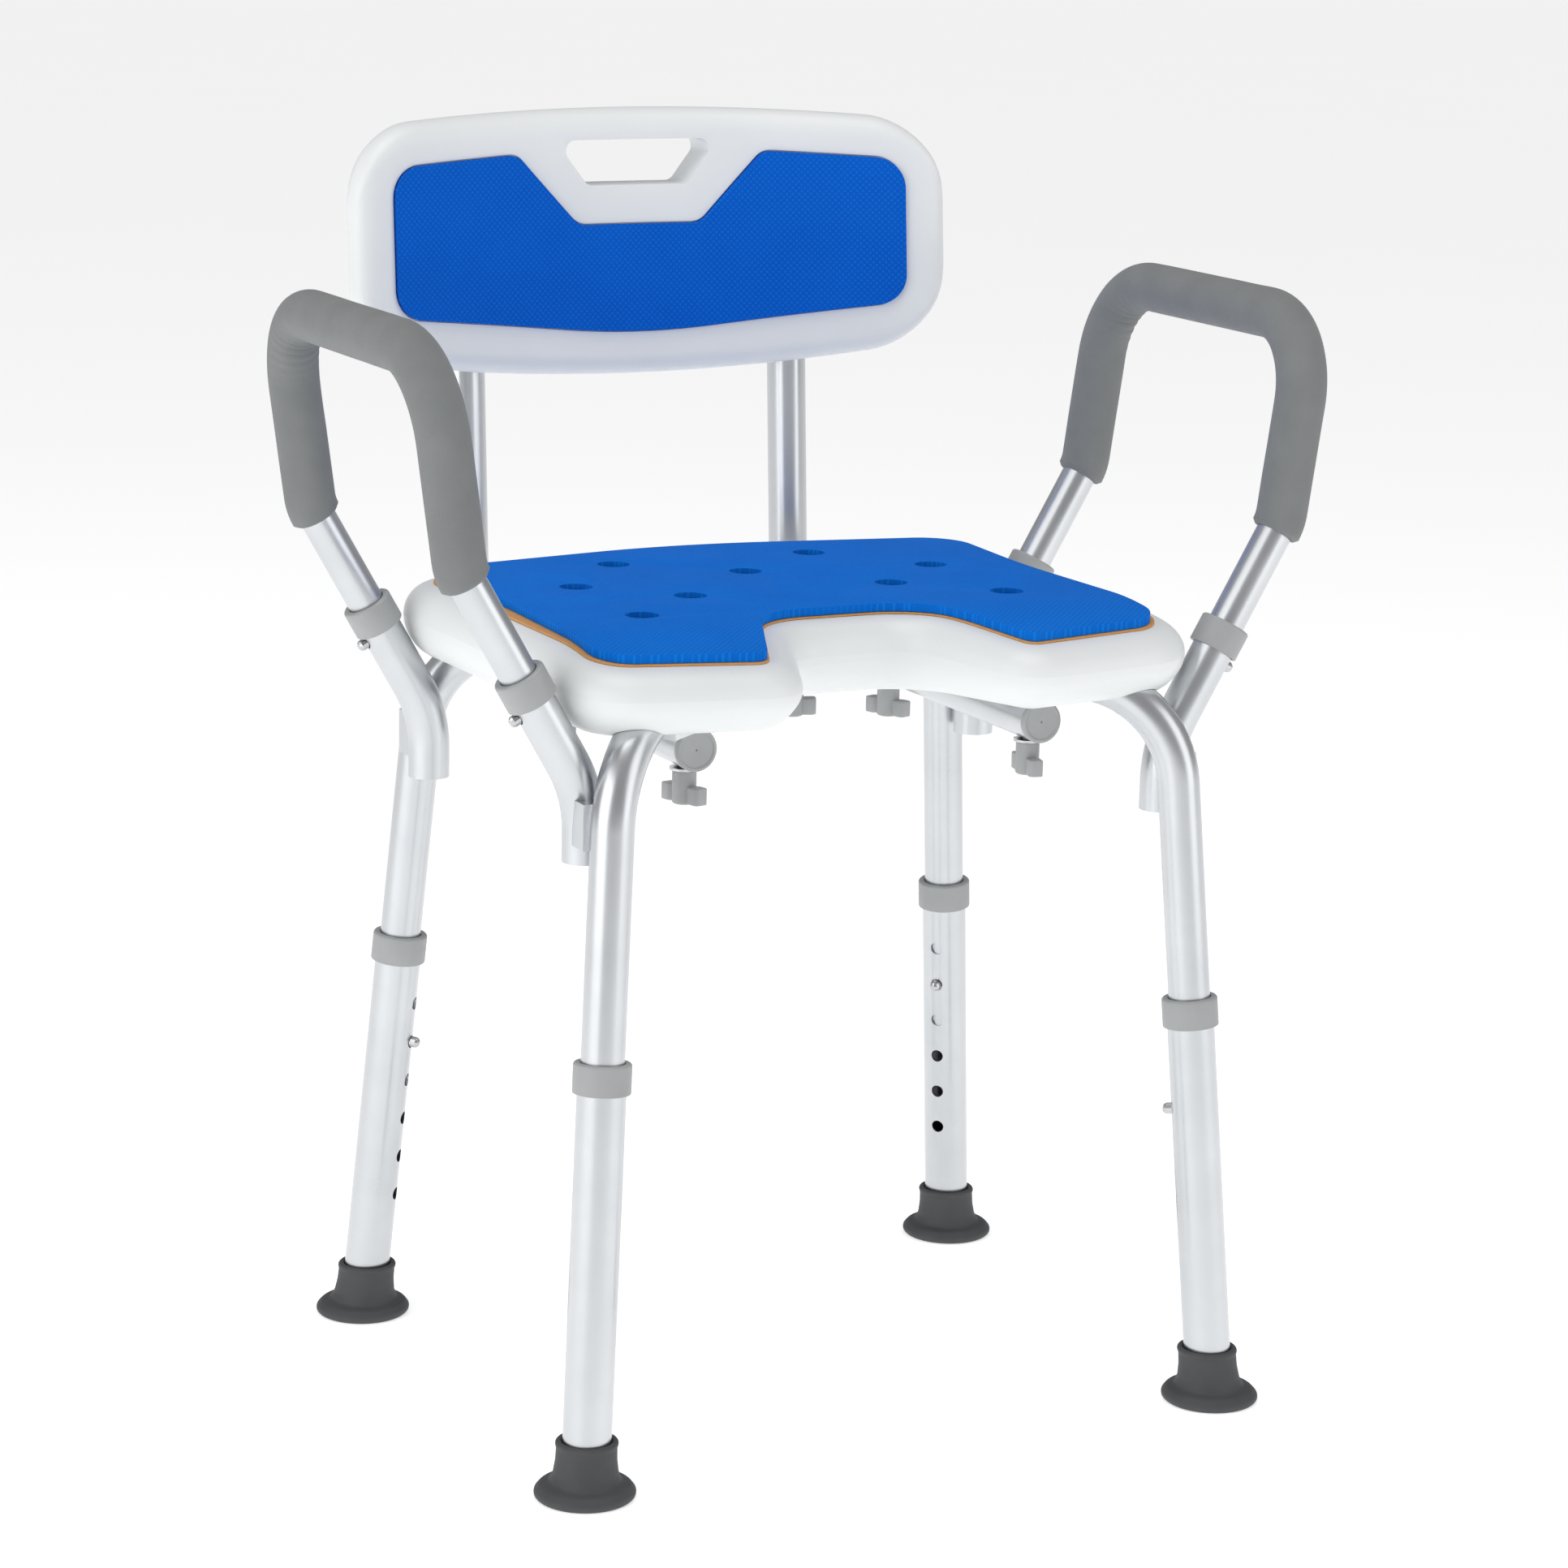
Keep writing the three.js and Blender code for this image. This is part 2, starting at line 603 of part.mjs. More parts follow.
// ---------------------------------------------------------------- legs and feet
function collar(axis, at, outer, inner) {
  const big = outer + GAP;
  const small = inner + GAP;
  const skin = big + COLLAR_WALL;
  const half = COLLAR_H / 2;
  return turned({ ...axis, o: at }, [
    [big, -half], [skin, -half], [skin, half - 1], [skin - 1, half],
    [small, half], [small, half - LIP_H], [big, half - LIP_H],
  ], true);
}

function lowerLeg(leg) {
  const [axis, inward] = [legAxis(leg), legInward(leg)];
  const top = legPoint(leg, LEG_COLLAR_Z).addScaledVector(axis, COLLAR_H / 2 - LIP_H - GAP);
  const low = legPoint(leg, FOOT_SOLE + 2);
  const path = [{ p: low, t: axis }, { p: top, t: axis }];
  let solid = tube(path, LEG_R, LEG_R - WALL, legInward(leg));
  for (let i = 0; i < HOLE_COUNT; i += 1) {
    const at = legPoint(leg, TOP_HOLE_Z - i * HOLE_PITCH);
    solid = solid.subtract(bore(at, at.clone().addScaledVector(inward, LEG_R + 2), HOLE_R));
  }
  return solid;
}

function legCollar(leg) {
  const axis = { t: legAxis(leg), reference: legInward(leg) };
  return collar(axis, legPoint(leg, LEG_COLLAR_Z), LEG_R, FRAME_R);
}

// Level rings centred on the leaning leg, so the sole stays flat on the floor.
function rubberFoot(leg) {
  const hole = LEG_R + 2 * GAP;
  const body = hole + FOOT_WALL;
  const profile = [
    [FOOT_FLANGE_R - 2, 0], [FOOT_FLANGE_R, 2], [FOOT_FLANGE_R, 4.5], [FOOT_FLANGE_R - 3, FOOT_FLANGE_H],
    [body + 3, FOOT_FLANGE_H + 1], [body + 0.8, 14], [body - 0.6, FOOT_RIM_Z - 2.5],
    [body, FOOT_RIM_Z - 1.2], [body - 1, FOOT_RIM_Z], [hole, FOOT_RIM_Z], [hole, FOOT_SOLE],
  ];
  const sides = frameFor(V(0, 0, 1), legInward(leg).setZ(0).normalize());
  return loft(profile.map(([r, z]) => ring(legPoint(leg, z), ...sides, r)));
}

// Spring button: ball-nosed pin on a leaf spring that folds back inside the tube.
function snapClip(at, axis, out, tubeInner, tubeOuter) {
  const nose = tubeOuter + BUTTON_PROUD;
  const seat = tubeInner - 2.3;
  const pinAxis = { o: at, t: out, reference: axis };
  const pin = turned(pinAxis, [
    [BUTTON_R, seat - 0.4], [BUTTON_R, nose - 2.4], [BUTTON_R * 0.8, nose - 0.9], [BUTTON_R * 0.35, nose],
  ]);
  const leaf = [
    [seat, 7], [seat, -7], [seat - 8, -20],
    [seat - 7.2, -20.4], [seat + 0.9, -7.6], [seat + 0.9, 7],
  ];
  const across = axis.clone().cross(out).normalize();
  const loops = [-2.6, 2.6].map((w) => leaf.map(([r, h]) => at.clone()
    .addScaledVector(out, r).addScaledVector(axis, h).addScaledVector(across, w)));
  const caps = THREE.ShapeUtils.triangulateShape(leaf.map(([r, h]) => new THREE.Vector2(r, h)), []);
  return loft(loops, { caps }).add(pin);
}

function legClip(leg) {
  return snapClip(legPoint(leg, USED_HOLE_Z), legAxis(leg), legInward(leg), FRAME_R - WALL, LEG_R);
}

// ---------------------------------------------------------------- arms
const SOCKETS = LEGS.map((leg) => ({ ...leg, y: leg.sign * SOCKET_Y }));
const ARM_REFERENCE = V(0, 1, 0);
const ARM_OUT = (side) => V(side * Math.cos(ARM_TILT), 0, -Math.sin(ARM_TILT));

function socketPath({ side, y }) {
  const vertexZ = ARM_COLLAR_Z - (ARM_COLLAR_X - SOCKET_X) / Math.tan(ARM_TILT);
  return roundedPath([
    V(side * SOCKET_X, y, SOCKET_END_Z),
    V(side * SOCKET_X, y, vertexZ),
    armPoint(side, y, COLLAR_H / 2 - LIP_H - GAP),
  ], [SOCKET_BEND], 0.18);
}

function armSocket(place) {
  const at = armPoint(place.side, place.y, -ARM_BUTTON_DROP);
  const out = at.clone().addScaledVector(ARM_OUT(place.side), FRAME_R + 2);
  return tube(socketPath(place), FRAME_R, FRAME_R - WALL, ARM_REFERENCE).subtract(bore(at, out, HOLE_R));
}

function armCollar({ side, y }) {
  return collar({ t: ARM_AXIS(side), reference: ARM_REFERENCE }, armPoint(side, y, 0), FRAME_R, ARM_R);
}

// Weld piece filling the valley between the socket and the leg beside it.
function weldPlate(place) {
  const leg = legById(place.id);
  const legAt = legPoint(leg, PLATE_Z);
  const mid = (Math.abs(legAt.y) + SOCKET_Y) / 2;
  const spread = [mid - 8.5, mid + 8.5].map((y) => place.sign * y).sort((a, b) => a - b);
  const reach = [SOCKET_X - 2, SOCKET_X + 10.5].map((x) => place.side * x).sort((a, b) => a - b);
  const blank = block(...reach, ...spread, PLATE_Z - PLATE_H / 2, PLATE_Z + PLATE_H / 2);
  const pair = CROSS_PAIRS.find((ids) => ids.includes(place.id));
  return blank
    .subtract(rod(archPath(pair).path, FRAME_R + GAP, crossReference(pair)))
    .subtract(rod(socketPath(place), FRAME_R + GAP, ARM_REFERENCE));
}

const ELBOW_ALONG = (ELBOW_Z - ARM_COLLAR_Z) / Math.cos(ARM_TILT);
const ARM_TAIL_ALONG = -ARM_BUTTON_DROP - ARM_TAIL;
const GRIP_START_ALONG = ELBOW_ALONG - 8;

function armPath(side, from) {
  const elbow = (y) => armPoint(side, y, ELBOW_ALONG);
  const top = (y) => elbow(y).add(V(side * ARM_SLOPE * (ARM_TOP_Z - ELBOW_Z), 0, ARM_TOP_Z - ELBOW_Z));
  const [f, r] = [-SOCKET_Y, SOCKET_Y];
  const corners = [armPoint(side, f, from), elbow(f), top(f), top(r), elbow(r), armPoint(side, r, from)];
  return roundedPath(corners, [30, ARM_CORNER, ARM_CORNER, 30]);
}

function armTube(side) {
  let solid = tube(armPath(side, ARM_TAIL_ALONG), ARM_R, ARM_R - WALL, V(side, 0, 0));
  for (const y of [-SOCKET_Y, SOCKET_Y]) {
    const at = armPoint(side, y, -ARM_BUTTON_DROP);
    solid = solid.subtract(bore(at, at.clone().addScaledVector(ARM_OUT(side), ARM_R + 2), HOLE_R));
  }
  return solid;
}

const armGrip = (side) => tube(armPath(side, GRIP_START_ALONG), GRIP_R, ARM_R + GAP, V(side, 0, 0));

function armClip({ side, y }) {
  const at = armPoint(side, y, -ARM_BUTTON_DROP);
  return snapClip(at, ARM_AXIS(side), ARM_OUT(side), ARM_R - WALL, FRAME_R);
}

// ---------------------------------------------------------------- back
const backMid = (x, z) => BACK_Y - BACK_BOW * x * x + BACK_LEAN * (z - BACK_MID_Z);
const backTop = (x) => BACK_TOP_Z - BACK_TOP_DROP * (x / BACK_HALF_W) ** 2;
const backLow = (x) => BACK_LOW_Z + BACK_LOW_RISE * (x / BACK_HALF_W) ** 2;

function cornerCut(x, halfWidth, radius) {
  const past = Math.max(0, Math.abs(x) - (halfWidth - radius));
  return radius - Math.sqrt(Math.max(0, radius * radius - past * past));
}

// Upright sections from end to end, each a flat-sided oval.
function backBody(shrink) {
  const half = BACK_HALF_W - shrink;
  const thick = BACK_T / 2 - shrink;
  const corner = BACK_CORNER - shrink;
  const ends = [1, 0.92, 0.75, 0.5, 0.25, 0]
    .map((k) => half - thick * (1 - Math.sin((Math.PI / 2) * k)) - 0.01);
  const inner = [0.88, 0.76, 0.62, 0.47, 0.31, 0.16, 0].map((k) => (half - thick) * k);
  const positive = [...ends, ...inner.filter((x) => x < ends.at(-1) - 3)];
  const stations = [...positive.filter((x) => x > 0).map((x) => -x), ...positive.slice().reverse()];
  const loops = stations.map((x) => {
    const depth = Math.abs(x) > half - thick
      ? Math.sqrt(thick * thick - (Math.abs(x) - half + thick) ** 2) : thick;
    const cut = cornerCut(x, half, corner);
    const [top, low] = [backTop(x) - shrink - cut, backLow(x) + shrink + cut];
    const cap = (centreZ, start) => [0, 1, 2, 3, 4].map((k) => {
      const a = start + (Math.PI * k) / 4;
      const z = centreZ + thick * Math.sin(a);
      return V(x, backMid(x, z) + depth * Math.cos(a), z);
    });
    return [...cap(top - thick, 0), ...cap(low + thick, Math.PI)];
  });
  return loft(loops);
}

// Outline in the x-z plane pushed through the back, front to rear.
function throughBack(points, fromY = 150, toY = 320) {
  const outline = points.map(([x, z]) => new THREE.Vector2(x, z));
  const loops = [fromY, toY].map((y) => outline.map((p) => V(p.x, y, p.y)));
  return loft(loops, { caps: THREE.ShapeUtils.triangulateShape(outline, []) });
}

function roundedFace(corners, inset) {
  return insetBy(roundedOutline(corners), inset).map((p) => [p.x, p.y]);
}

function handle(grow) {
  return throughBack(roundedFace([
    [-HANDLE_LOW_W, HANDLE_LOW_Z, 7], [HANDLE_LOW_W, HANDLE_LOW_Z, 7],
    [HANDLE_TOP_W, HANDLE_TOP_Z, 7], [-HANDLE_TOP_W, HANDLE_TOP_Z, 7],
  ], -grow));
}

// Sheet that follows the front of the back between two depths from its mid-plane.
function frontSheet(nearDepth, farDepth) {
  const stations = [-8, -6, -4, -2, 0, 2, 4, 6, 8].map((k) => (k * BACK_HALF_W) / 8);
  const [low, high] = [BACK_LOW_Z - 20, BACK_TOP_Z + 20];
  const loops = stations.map((x) => [
    V(x, backMid(x, low) - farDepth, low), V(x, backMid(x, low) - nearDepth, low),
    V(x, backMid(x, high) - nearDepth, high), V(x, backMid(x, high) - farDepth, high),
  ]);
  return loft(loops);
}

function backPadOutline(inset) {
  const right = [
    [BACK_HALF_W - 29, BACK_TOP_Z - 32.5, 20],
    [POST_X - 28, BACK_TOP_Z - 27.5, 12],
    [43, HANDLE_LOW_Z - 24.5, 14],
  ];
  const left = right.map(([x, z, r]) => [-x, z, r]).reverse();
  const low = BACK_LOW_Z + 28;
  const foot = BACK_HALF_W - 29;
  const bottom = [[-foot, low + 17, 20], [0, low - 2, 500], [foot, low + 17, 20]];
  return roundedFace([...right, ...left, ...bottom], inset);
}

const PAD_BED = BACK_T / 2 - (BACK_PAD_T - BACK_PAD_PROUD);

function backShell() {
  let body = backBody(0);
  let hollow = backBody(SHELL_WALL);
  for (const side of [-1, 1]) {
    const post = postPath(side, POST_TOP_Z + 4).slice(-2);
    const { p: top, t } = post[1];
    const grow = FRAME_R + GAP + BOSS_WALL;
    const upTo = (drop) => rod([
      { p: top.clone().addScaledVector(t, -drop), t },
      { p: top.clone().addScaledVector(t, BOSS_WALL), t },
    ], grow, POST_REFERENCE);
    body = body.add(upTo(POST_TOP_Z - BACK_LOW_Z - 22));
    hollow = hollow.subtract(upTo(POST_TOP_Z - BACK_LOW_Z + 40));
    body = body.subtract(rod(post, FRAME_R + GAP, POST_REFERENCE));
  }
  const wall = handle(SHELL_WALL);
  const bed = throughBack(backPadOutline(-2 * GAP)).intersect(frontSheet(PAD_BED, BACK_T));
  const bedWall = throughBack(backPadOutline(-SHELL_WALL))
    .intersect(frontSheet(PAD_BED - SHELL_WALL, BACK_T));
  hollow = hollow.subtract(wall).subtract(bedWall);
  const middle = V(0, backMid(0, BACK_LOW_Z), BACK_LOW_Z);
  const vent = bore(middle.clone().setZ(BACK_LOW_Z - 5), middle.clone().setZ(BACK_LOW_Z + 12), 3);
  return body.subtract(handle(0)).subtract(bed).subtract(hollow).subtract(vent);
}

function backPad() {
  return throughBack(backPadOutline(GAP))
    .intersect(frontSheet(PAD_BED + GAP, PAD_BED + GAP + BACK_PAD_T));
}

// ---------------------------------------------------------------- assembly
function buildSeat() {
  const seat = new THREE.Group();
  seat.name = 'seat';
  seat.add(meshOf('seat_shell', seatShell(), WHITE_HDPE));
  seat.add(meshOf('seat_pad', seatPad(), BLUE_EVA));
  seat.add(meshOf('seat_pad_backing', seatPadBacking(), TAN_BACKING));
  return seat;
}

function buildBack() {
  const back = new THREE.Group();
  back.name = 'back';
  back.add(meshOf('back_shell', backShell(), WHITE_HDPE));
  back.add(meshOf('back_pad', backPad(), BLUE_EVA));
  for (const [id, side] of [['l', -1], ['r', 1]]) {
    back.add(meshOf(`back_post_${id}`, backPost(side), ALUMINIUM));
    back.add(meshOf(`post_cap_${id}`, postCap(side), GREY_PLASTIC));
  }
  return back;
}

function buildFrame() {
  const frame = new THREE.Group();
  frame.name = 'frame';
  frame.add(meshOf('cross_tube_a', crossTube(CROSS_PAIRS[0]), ALUMINIUM));
  frame.add(meshOf('cross_tube_b', crossTube(CROSS_PAIRS[1]), ALUMINIUM));
  for (const bolt of BOLTS) {
    frame.add(meshOf(`knob_${bolt.id}`, knob(bolt), GREY_PLASTIC));
    frame.add(meshOf(`washer_${bolt.id}`, washer(bolt), STEEL));
  }
  for (const place of SOCKETS) {
    frame.add(meshOf(`arm_socket_${place.id}`, armSocket(place), ALUMINIUM));
    frame.add(meshOf(`weld_plate_${place.id}`, weldPlate(place), ALUMINIUM));
    frame.add(meshOf(`arm_collar_${place.id}`, armCollar(place), GREY_PLASTIC));
  }
  return frame;
}

function buildLeg(leg) {
  const group = new THREE.Group();
  group.name = `leg_${leg.id}`;
  group.add(meshOf(`lower_leg_${leg.id}`, lowerLeg(leg), ALUMINIUM));
  group.add(meshOf(`leg_collar_${leg.id}`, legCollar(leg), GREY_PLASTIC));
  group.add(meshOf(`foot_${leg.id}`, rubberFoot(leg), RUBBER));
  group.add(meshOf(`leg_clip_${leg.id}`, legClip(leg), STEEL));
  return group;
}

function buildArm(id, side) {
  const group = new THREE.Group();
  group.name = `arm_${id}`;
  group.add(meshOf(`arm_tube_${id}`, armTube(side), ALUMINIUM));
  group.add(meshOf(`arm_grip_${id}`, armGrip(side), GREY_FOAM));
  for (const place of SOCKETS.filter((socket) => socket.side === side)) {
    group.add(meshOf(`arm_clip_${place.id}`, armClip(place), STEEL));
  }
  return group;
}

const group = new THREE.Group();
group.name = 'shower_chair';
group.add(buildSeat(), buildBack(), buildFrame());
group.add(...LEGS.map(buildLeg));
group.add(buildArm('l', -1), buildArm('r', 1));

// The origin sits on the floor under the middle of the whole box.
const box = new THREE.Box3().setFromObject(group);
const middle = box.getCenter(V(0, 0, 0));
group.traverse((node) => {
  if (node.isMesh) node.geometry.translate(-middle.x, -middle.y, -box.min.z);
});

export default group;
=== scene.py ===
import math
import bmesh
import bpy
from mathutils import Matrix, Vector, noise


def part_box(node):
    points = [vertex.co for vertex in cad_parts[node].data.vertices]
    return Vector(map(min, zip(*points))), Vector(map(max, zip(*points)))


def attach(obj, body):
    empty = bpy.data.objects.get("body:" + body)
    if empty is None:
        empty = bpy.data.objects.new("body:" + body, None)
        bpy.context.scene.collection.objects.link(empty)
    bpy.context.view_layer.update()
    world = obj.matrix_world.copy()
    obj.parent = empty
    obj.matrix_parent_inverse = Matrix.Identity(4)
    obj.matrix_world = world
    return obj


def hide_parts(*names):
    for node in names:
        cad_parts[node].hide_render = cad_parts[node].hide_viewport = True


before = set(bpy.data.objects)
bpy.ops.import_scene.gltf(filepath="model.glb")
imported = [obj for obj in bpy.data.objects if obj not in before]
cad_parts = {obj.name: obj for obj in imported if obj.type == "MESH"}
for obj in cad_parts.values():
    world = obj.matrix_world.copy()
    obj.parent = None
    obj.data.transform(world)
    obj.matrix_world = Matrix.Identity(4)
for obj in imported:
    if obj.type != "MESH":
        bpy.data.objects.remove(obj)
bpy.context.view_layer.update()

# ---------------------------------------------------------------- cross tubes
# Two drawn aluminium tubes, 25.4 mm across, bent down at both ends into the upper legs.
# They cross under the seat, where each is pressed flat, and are satin anodised.

MM = 0.001
TUBE_R = 12.7
TUBE_WALL = 1.3
GAP = 0.3
SEAT_LOW = 435.0
CROSS_Z = SEAT_LOW + 10
CROSS_BEND = 65.0
BUTTON_Z = 184.0
TUBE_BELOW_BUTTON = 39.0
FLAT_HALF_H, FLAT_HALF_W = 6.0, 16.6
FLAT_END, ROUND_START = 22.0, 40.0
# corner: side, front or rear, foot across, foot along, lean across, lean along
LEGS = {
    "fl": (-1, -1, 210, -176, 0.062, 0.070),
    "fr": (1, -1, 210, -176, 0.062, 0.070),
    "rl": (-1, 1, 213, 176, 0.075, 0.066),
    "rr": (1, 1, 213, 176, 0.075, 0.066),
}
ARM_SOCKET_Y = 120.0

# The drawing's y is measured from the seat's middle; the front arm collars give the offset.
collar_low, collar_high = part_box("arm_collar_fl")
OFFSET_Y = (collar_low[1] + collar_high[1]) / 2 + ARM_SOCKET_Y * MM


def at(x, y, z):
    return Vector((x * MM, y * MM + OFFSET_Y, z * MM))


def leg_point(leg, z):
    side, sign, foot_x, foot_y, lean_x, lean_y = LEGS[leg]
    return Vector((side * (foot_x - lean_x * z), foot_y - sign * lean_y * z, z))


def placed(points):
    return [at(*p) for p in points]


def rounded_path(corners, radii, step=0.09):
    """Straight runs joined by arcs, as (point, direction) pairs in millimetres."""
    path = [(corners[0], (corners[1] - corners[0]).normalized())]
    for before, here, after, radius in zip(corners, corners[1:], corners[2:], radii):
        into, out = (here - before).normalized(), (after - here).normalized()
        turn = into.angle(out)
        start = here - into * radius * math.tan(turn / 2)
        inward = (out - into * out.dot(into)).normalized()
        steps = max(2, round(turn / step))
        for k in range(steps + 1):
            a = turn * k / steps
            point = start + into * radius * math.sin(a) + inward * radius * (1 - math.cos(a))
            path.append((point, (into * math.cos(a) + inward * math.sin(a)).normalized()))
    path.append((corners[-1], (corners[-1] - corners[-2]).normalized()))
    return path


def ring(point, direction, reference, radius, sides=48, squash=None):
    across = reference.cross(direction).normalized()
    up = direction.cross(across).normalized()
    flat_w, flat_h, lift = squash or (1, 1, 0)
    angles = [2 * math.pi * i / sides for i in range(sides)]
    return [point + across * (radius * flat_h * math.cos(a) + lift) + up * radius * flat_w * math.sin(a)
            for a in angles]


def blank(name, vertices, faces):
    """A closed mesh with no finish yet, all its faces turned outwards."""
    mesh = bpy.data.meshes.new(name)
    mesh.from_pydata(placed(vertices), [], faces)
    shape = bmesh.new()
    shape.from_mesh(mesh)
    bmesh.ops.recalc_face_normals(shape, faces=shape.faces)
    shape.to_mesh(mesh)
    shape.free()
    made = bpy.data.objects.new(name, mesh)
    bpy.context.scene.collection.objects.link(made)
    return made


def piece(name, vertices, faces, body, material, nodes=(), crease=35):
    return finished(blank(name, vertices, faces), body, material, nodes, crease)


def finished(made, body, material, nodes=(), crease=35):
    made.data.shade_smooth()
    made.data.set_sharp_from_angle(angle=math.radians(crease))
    made.data.materials.clear()
    made.data.materials.append(material)
    if body:
        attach(made, body)
    if nodes:
        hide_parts(*nodes)
    return made


def loft(rings, closed=True, joined=False):
    """Skin over rings of equal length: capped at both ends, or joined last to first."""
    count, sides = len(rings), len(rings[0])
    vertices = [p for loop in rings for p in loop]
    faces = []
    for i in range(count if joined else count - 1):
        for k in range(sides):
            a, b = i * sides + k, i * sides + (k + 1) % sides
            c, d = (b + sides) % (count * sides), (a + sides) % (count * sides)
            faces.append((a, b, c, d))
    if closed and not joined:
        faces.append(tuple(range(sides))[::-1])
        faces.append(tuple((count - 1) * sides + k for k in range(sides)))
    return vertices, faces


def tube_skin(path, outer, inner, reference, squashes=None, sides=48):
    flats = squashes or [None] * len(path)
    outside = [ring(p, t, reference, outer, sides, s) for (p, t), s in zip(path, flats)]
    inside = [ring(p, t, reference, inner, sides, s) for (p, t), s in zip(path, flats)]
    return loft(outside + inside[::-1], joined=True)


def cut(made, *tools, operation="DIFFERENCE"):
    """Boolean cut or join, applied, with the tools removed."""
    for tool in tools:
        change = made.modifiers.new("cut", "BOOLEAN")
        change.operation, change.solver, change.object = operation, "EXACT", tool
    applied(made)
    for tool in tools:
        bpy.data.objects.remove(tool)
    return made


def applied(made):
    graph = bpy.context.evaluated_depsgraph_get()
    mesh = bpy.data.meshes.new_from_object(made.evaluated_get(graph))
    made.modifiers.clear()
    made.data = mesh
    return made


def pin(start, end, radius, sides=32):
    direction = (end - start).normalized()
    reference = Vector((1, 0, 0)) if abs(direction.z) > 0.8 else Vector((0, 0, 1))
    rings = [ring(p, direction, reference, radius, sides) for p in (start, end)]
    return blank("pin", *loft(rings))


def linear(hex_colour):
    channels = [int(hex_colour[i:i + 2], 16) / 255 for i in (1, 3, 5)]
    return (*(c / 12.92 if c <= 0.04045 else ((c + 0.055) / 1.055) ** 2.4 for c in channels), 1.0)


def add(tree, kind, inputs=None, **settings):
    """One node; each input is given a value or linked from another node's socket."""
    made = tree.nodes.new(kind)
    for name, value in settings.items():
        setattr(made, name, value)
    for name, value in (inputs or {}).items():
        if isinstance(value, bpy.types.NodeSocket):
            tree.links.new(value, made.inputs[name])
        else:
            made.inputs[name].default_value = value
    return made


def new_material(name, **shader):
    material = bpy.data.materials.new(name)
    material.use_nodes = True
    surface = material.node_tree.nodes["Principled BSDF"]
    for socket, value in shader.items():
        surface.inputs[socket.replace("_", " ")].default_value = value
    return material, material.node_tree, surface


def spread(tree, source, low, high):
    """A 0 to 1 pattern turned into a range of values."""
    inputs = {"Value": source, "To Min": low, "To Max": high}
    return add(tree, "ShaderNodeMapRange", inputs).outputs["Result"]


# Satin anodised aluminium: drawn, etched matt and sealed. The etch leaves an even silk gloss
# with faint cloudy patches, and the sealed film takes the sharpness off every reflection.
aluminium, tree, surface = new_material("anodised_aluminium", Metallic=1.0, IOR=1.5)
place = add(tree, "ShaderNodeTexCoord").outputs["Object"]
cloud = add(tree, "ShaderNodeTexNoise", {"Vector": place, "Scale": 28.0, "Detail": 4.0})
etch = add(tree, "ShaderNodeTexNoise", {"Vector": place, "Scale": 1400.0, "Detail": 2.0})
tone = add(tree, "ShaderNodeMix", {"Factor": cloud.outputs["Fac"]}, data_type="RGBA")
tone.inputs["A"].default_value, tone.inputs["B"].default_value = linear("#c2c5c8"), linear("#d6d8da")
tree.links.new(tone.outputs["Result"], surface.inputs["Base Color"])
tree.links.new(spread(tree, cloud.outputs["Fac"], 0.24, 0.36), surface.inputs["Roughness"])
bump = add(tree, "ShaderNodeBump", {"Height": etch.outputs["Fac"], "Strength": 0.05, "Distance": 0.0002})
tree.links.new(bump.outputs["Normal"], surface.inputs["Normal"])


def crossing():
    low, high = leg_point("fl", CROSS_Z), leg_point("rr", CROSS_Z)
    return low.lerp(high, -low.x / (high.x - low.x))


def cross_path(front, rear, step=0.09):
    below = BUTTON_Z - TUBE_BELOW_BUTTON
    ends = [leg_point(leg, below) for leg in (front, rear)]
    tops = [leg_point(leg, CROSS_Z) for leg in (front, rear)]
    return rounded_path([ends[0], tops[0], tops[1], ends[1]], [CROSS_BEND, CROSS_BEND], step)


for name, front, rear, lift in (("cross_tube_a", "fl", "rr", 1), ("cross_tube_b", "fr", "rl", -1)):
    path = cross_path(front, rear)
    along = (leg_point(rear, CROSS_Z) - leg_point(front, CROSS_Z)).normalized()
    half = len(path) // 2
    middle, squashes = [], []
    for k in range(-20, 21):
        s = k * 2.4
        flat = 1 - min(1, max(0, (abs(s) - FLAT_END) / (ROUND_START - FLAT_END)))
        flat = flat * flat * (3 - 2 * flat)
        middle.append((crossing() + along * s, along))
        squashes.append((1 + flat * (FLAT_HALF_W / TUBE_R - 1), 1 + flat * (FLAT_HALF_H / TUBE_R - 1),
                         -lift * flat * (FLAT_HALF_H + GAP)))
    squashes = [None] * half + squashes + [None] * (len(path) - half)
    path = path[:half] + middle + path[half:]
    sideways = Vector((0, 0, 1)).cross(along).normalized()
    skin = tube_skin(path, TUBE_R, TUBE_R - TUBE_WALL, sideways, squashes)
    piece(name + "_drawn", *skin, "frame", aluminium, [name])

# ---------------------------------------------------------------- lower legs
# Wider drawn tubes, 28.6 mm across, that slide over the upper legs. Six 8 mm holes at
# 25.4 mm pitch face inwards and take the snap button. Satin anodised like the frame.
LEG_R = TUBE_R + GAP + TUBE_WALL
HOLE_R = 4.1
HOLE_PITCH = 25.4
HOLE_COUNT = 6
LEG_COLLAR_Z = 245.0
TOP_HOLE_Z = LEG_COLLAR_Z - 35.6
COLLAR_H = 18.0
COLLAR_LIP = 4.0
SOLE = 8.0


def leg_axis(leg):
    return (leg_point(leg, 1) - leg_point(leg, 0)).normalized()


def leg_inward(leg):
    inward = -leg_point(leg, BUTTON_Z)
    inward.z = 0
    axis = leg_axis(leg)
    return (inward - axis * inward.dot(axis)).normalized()


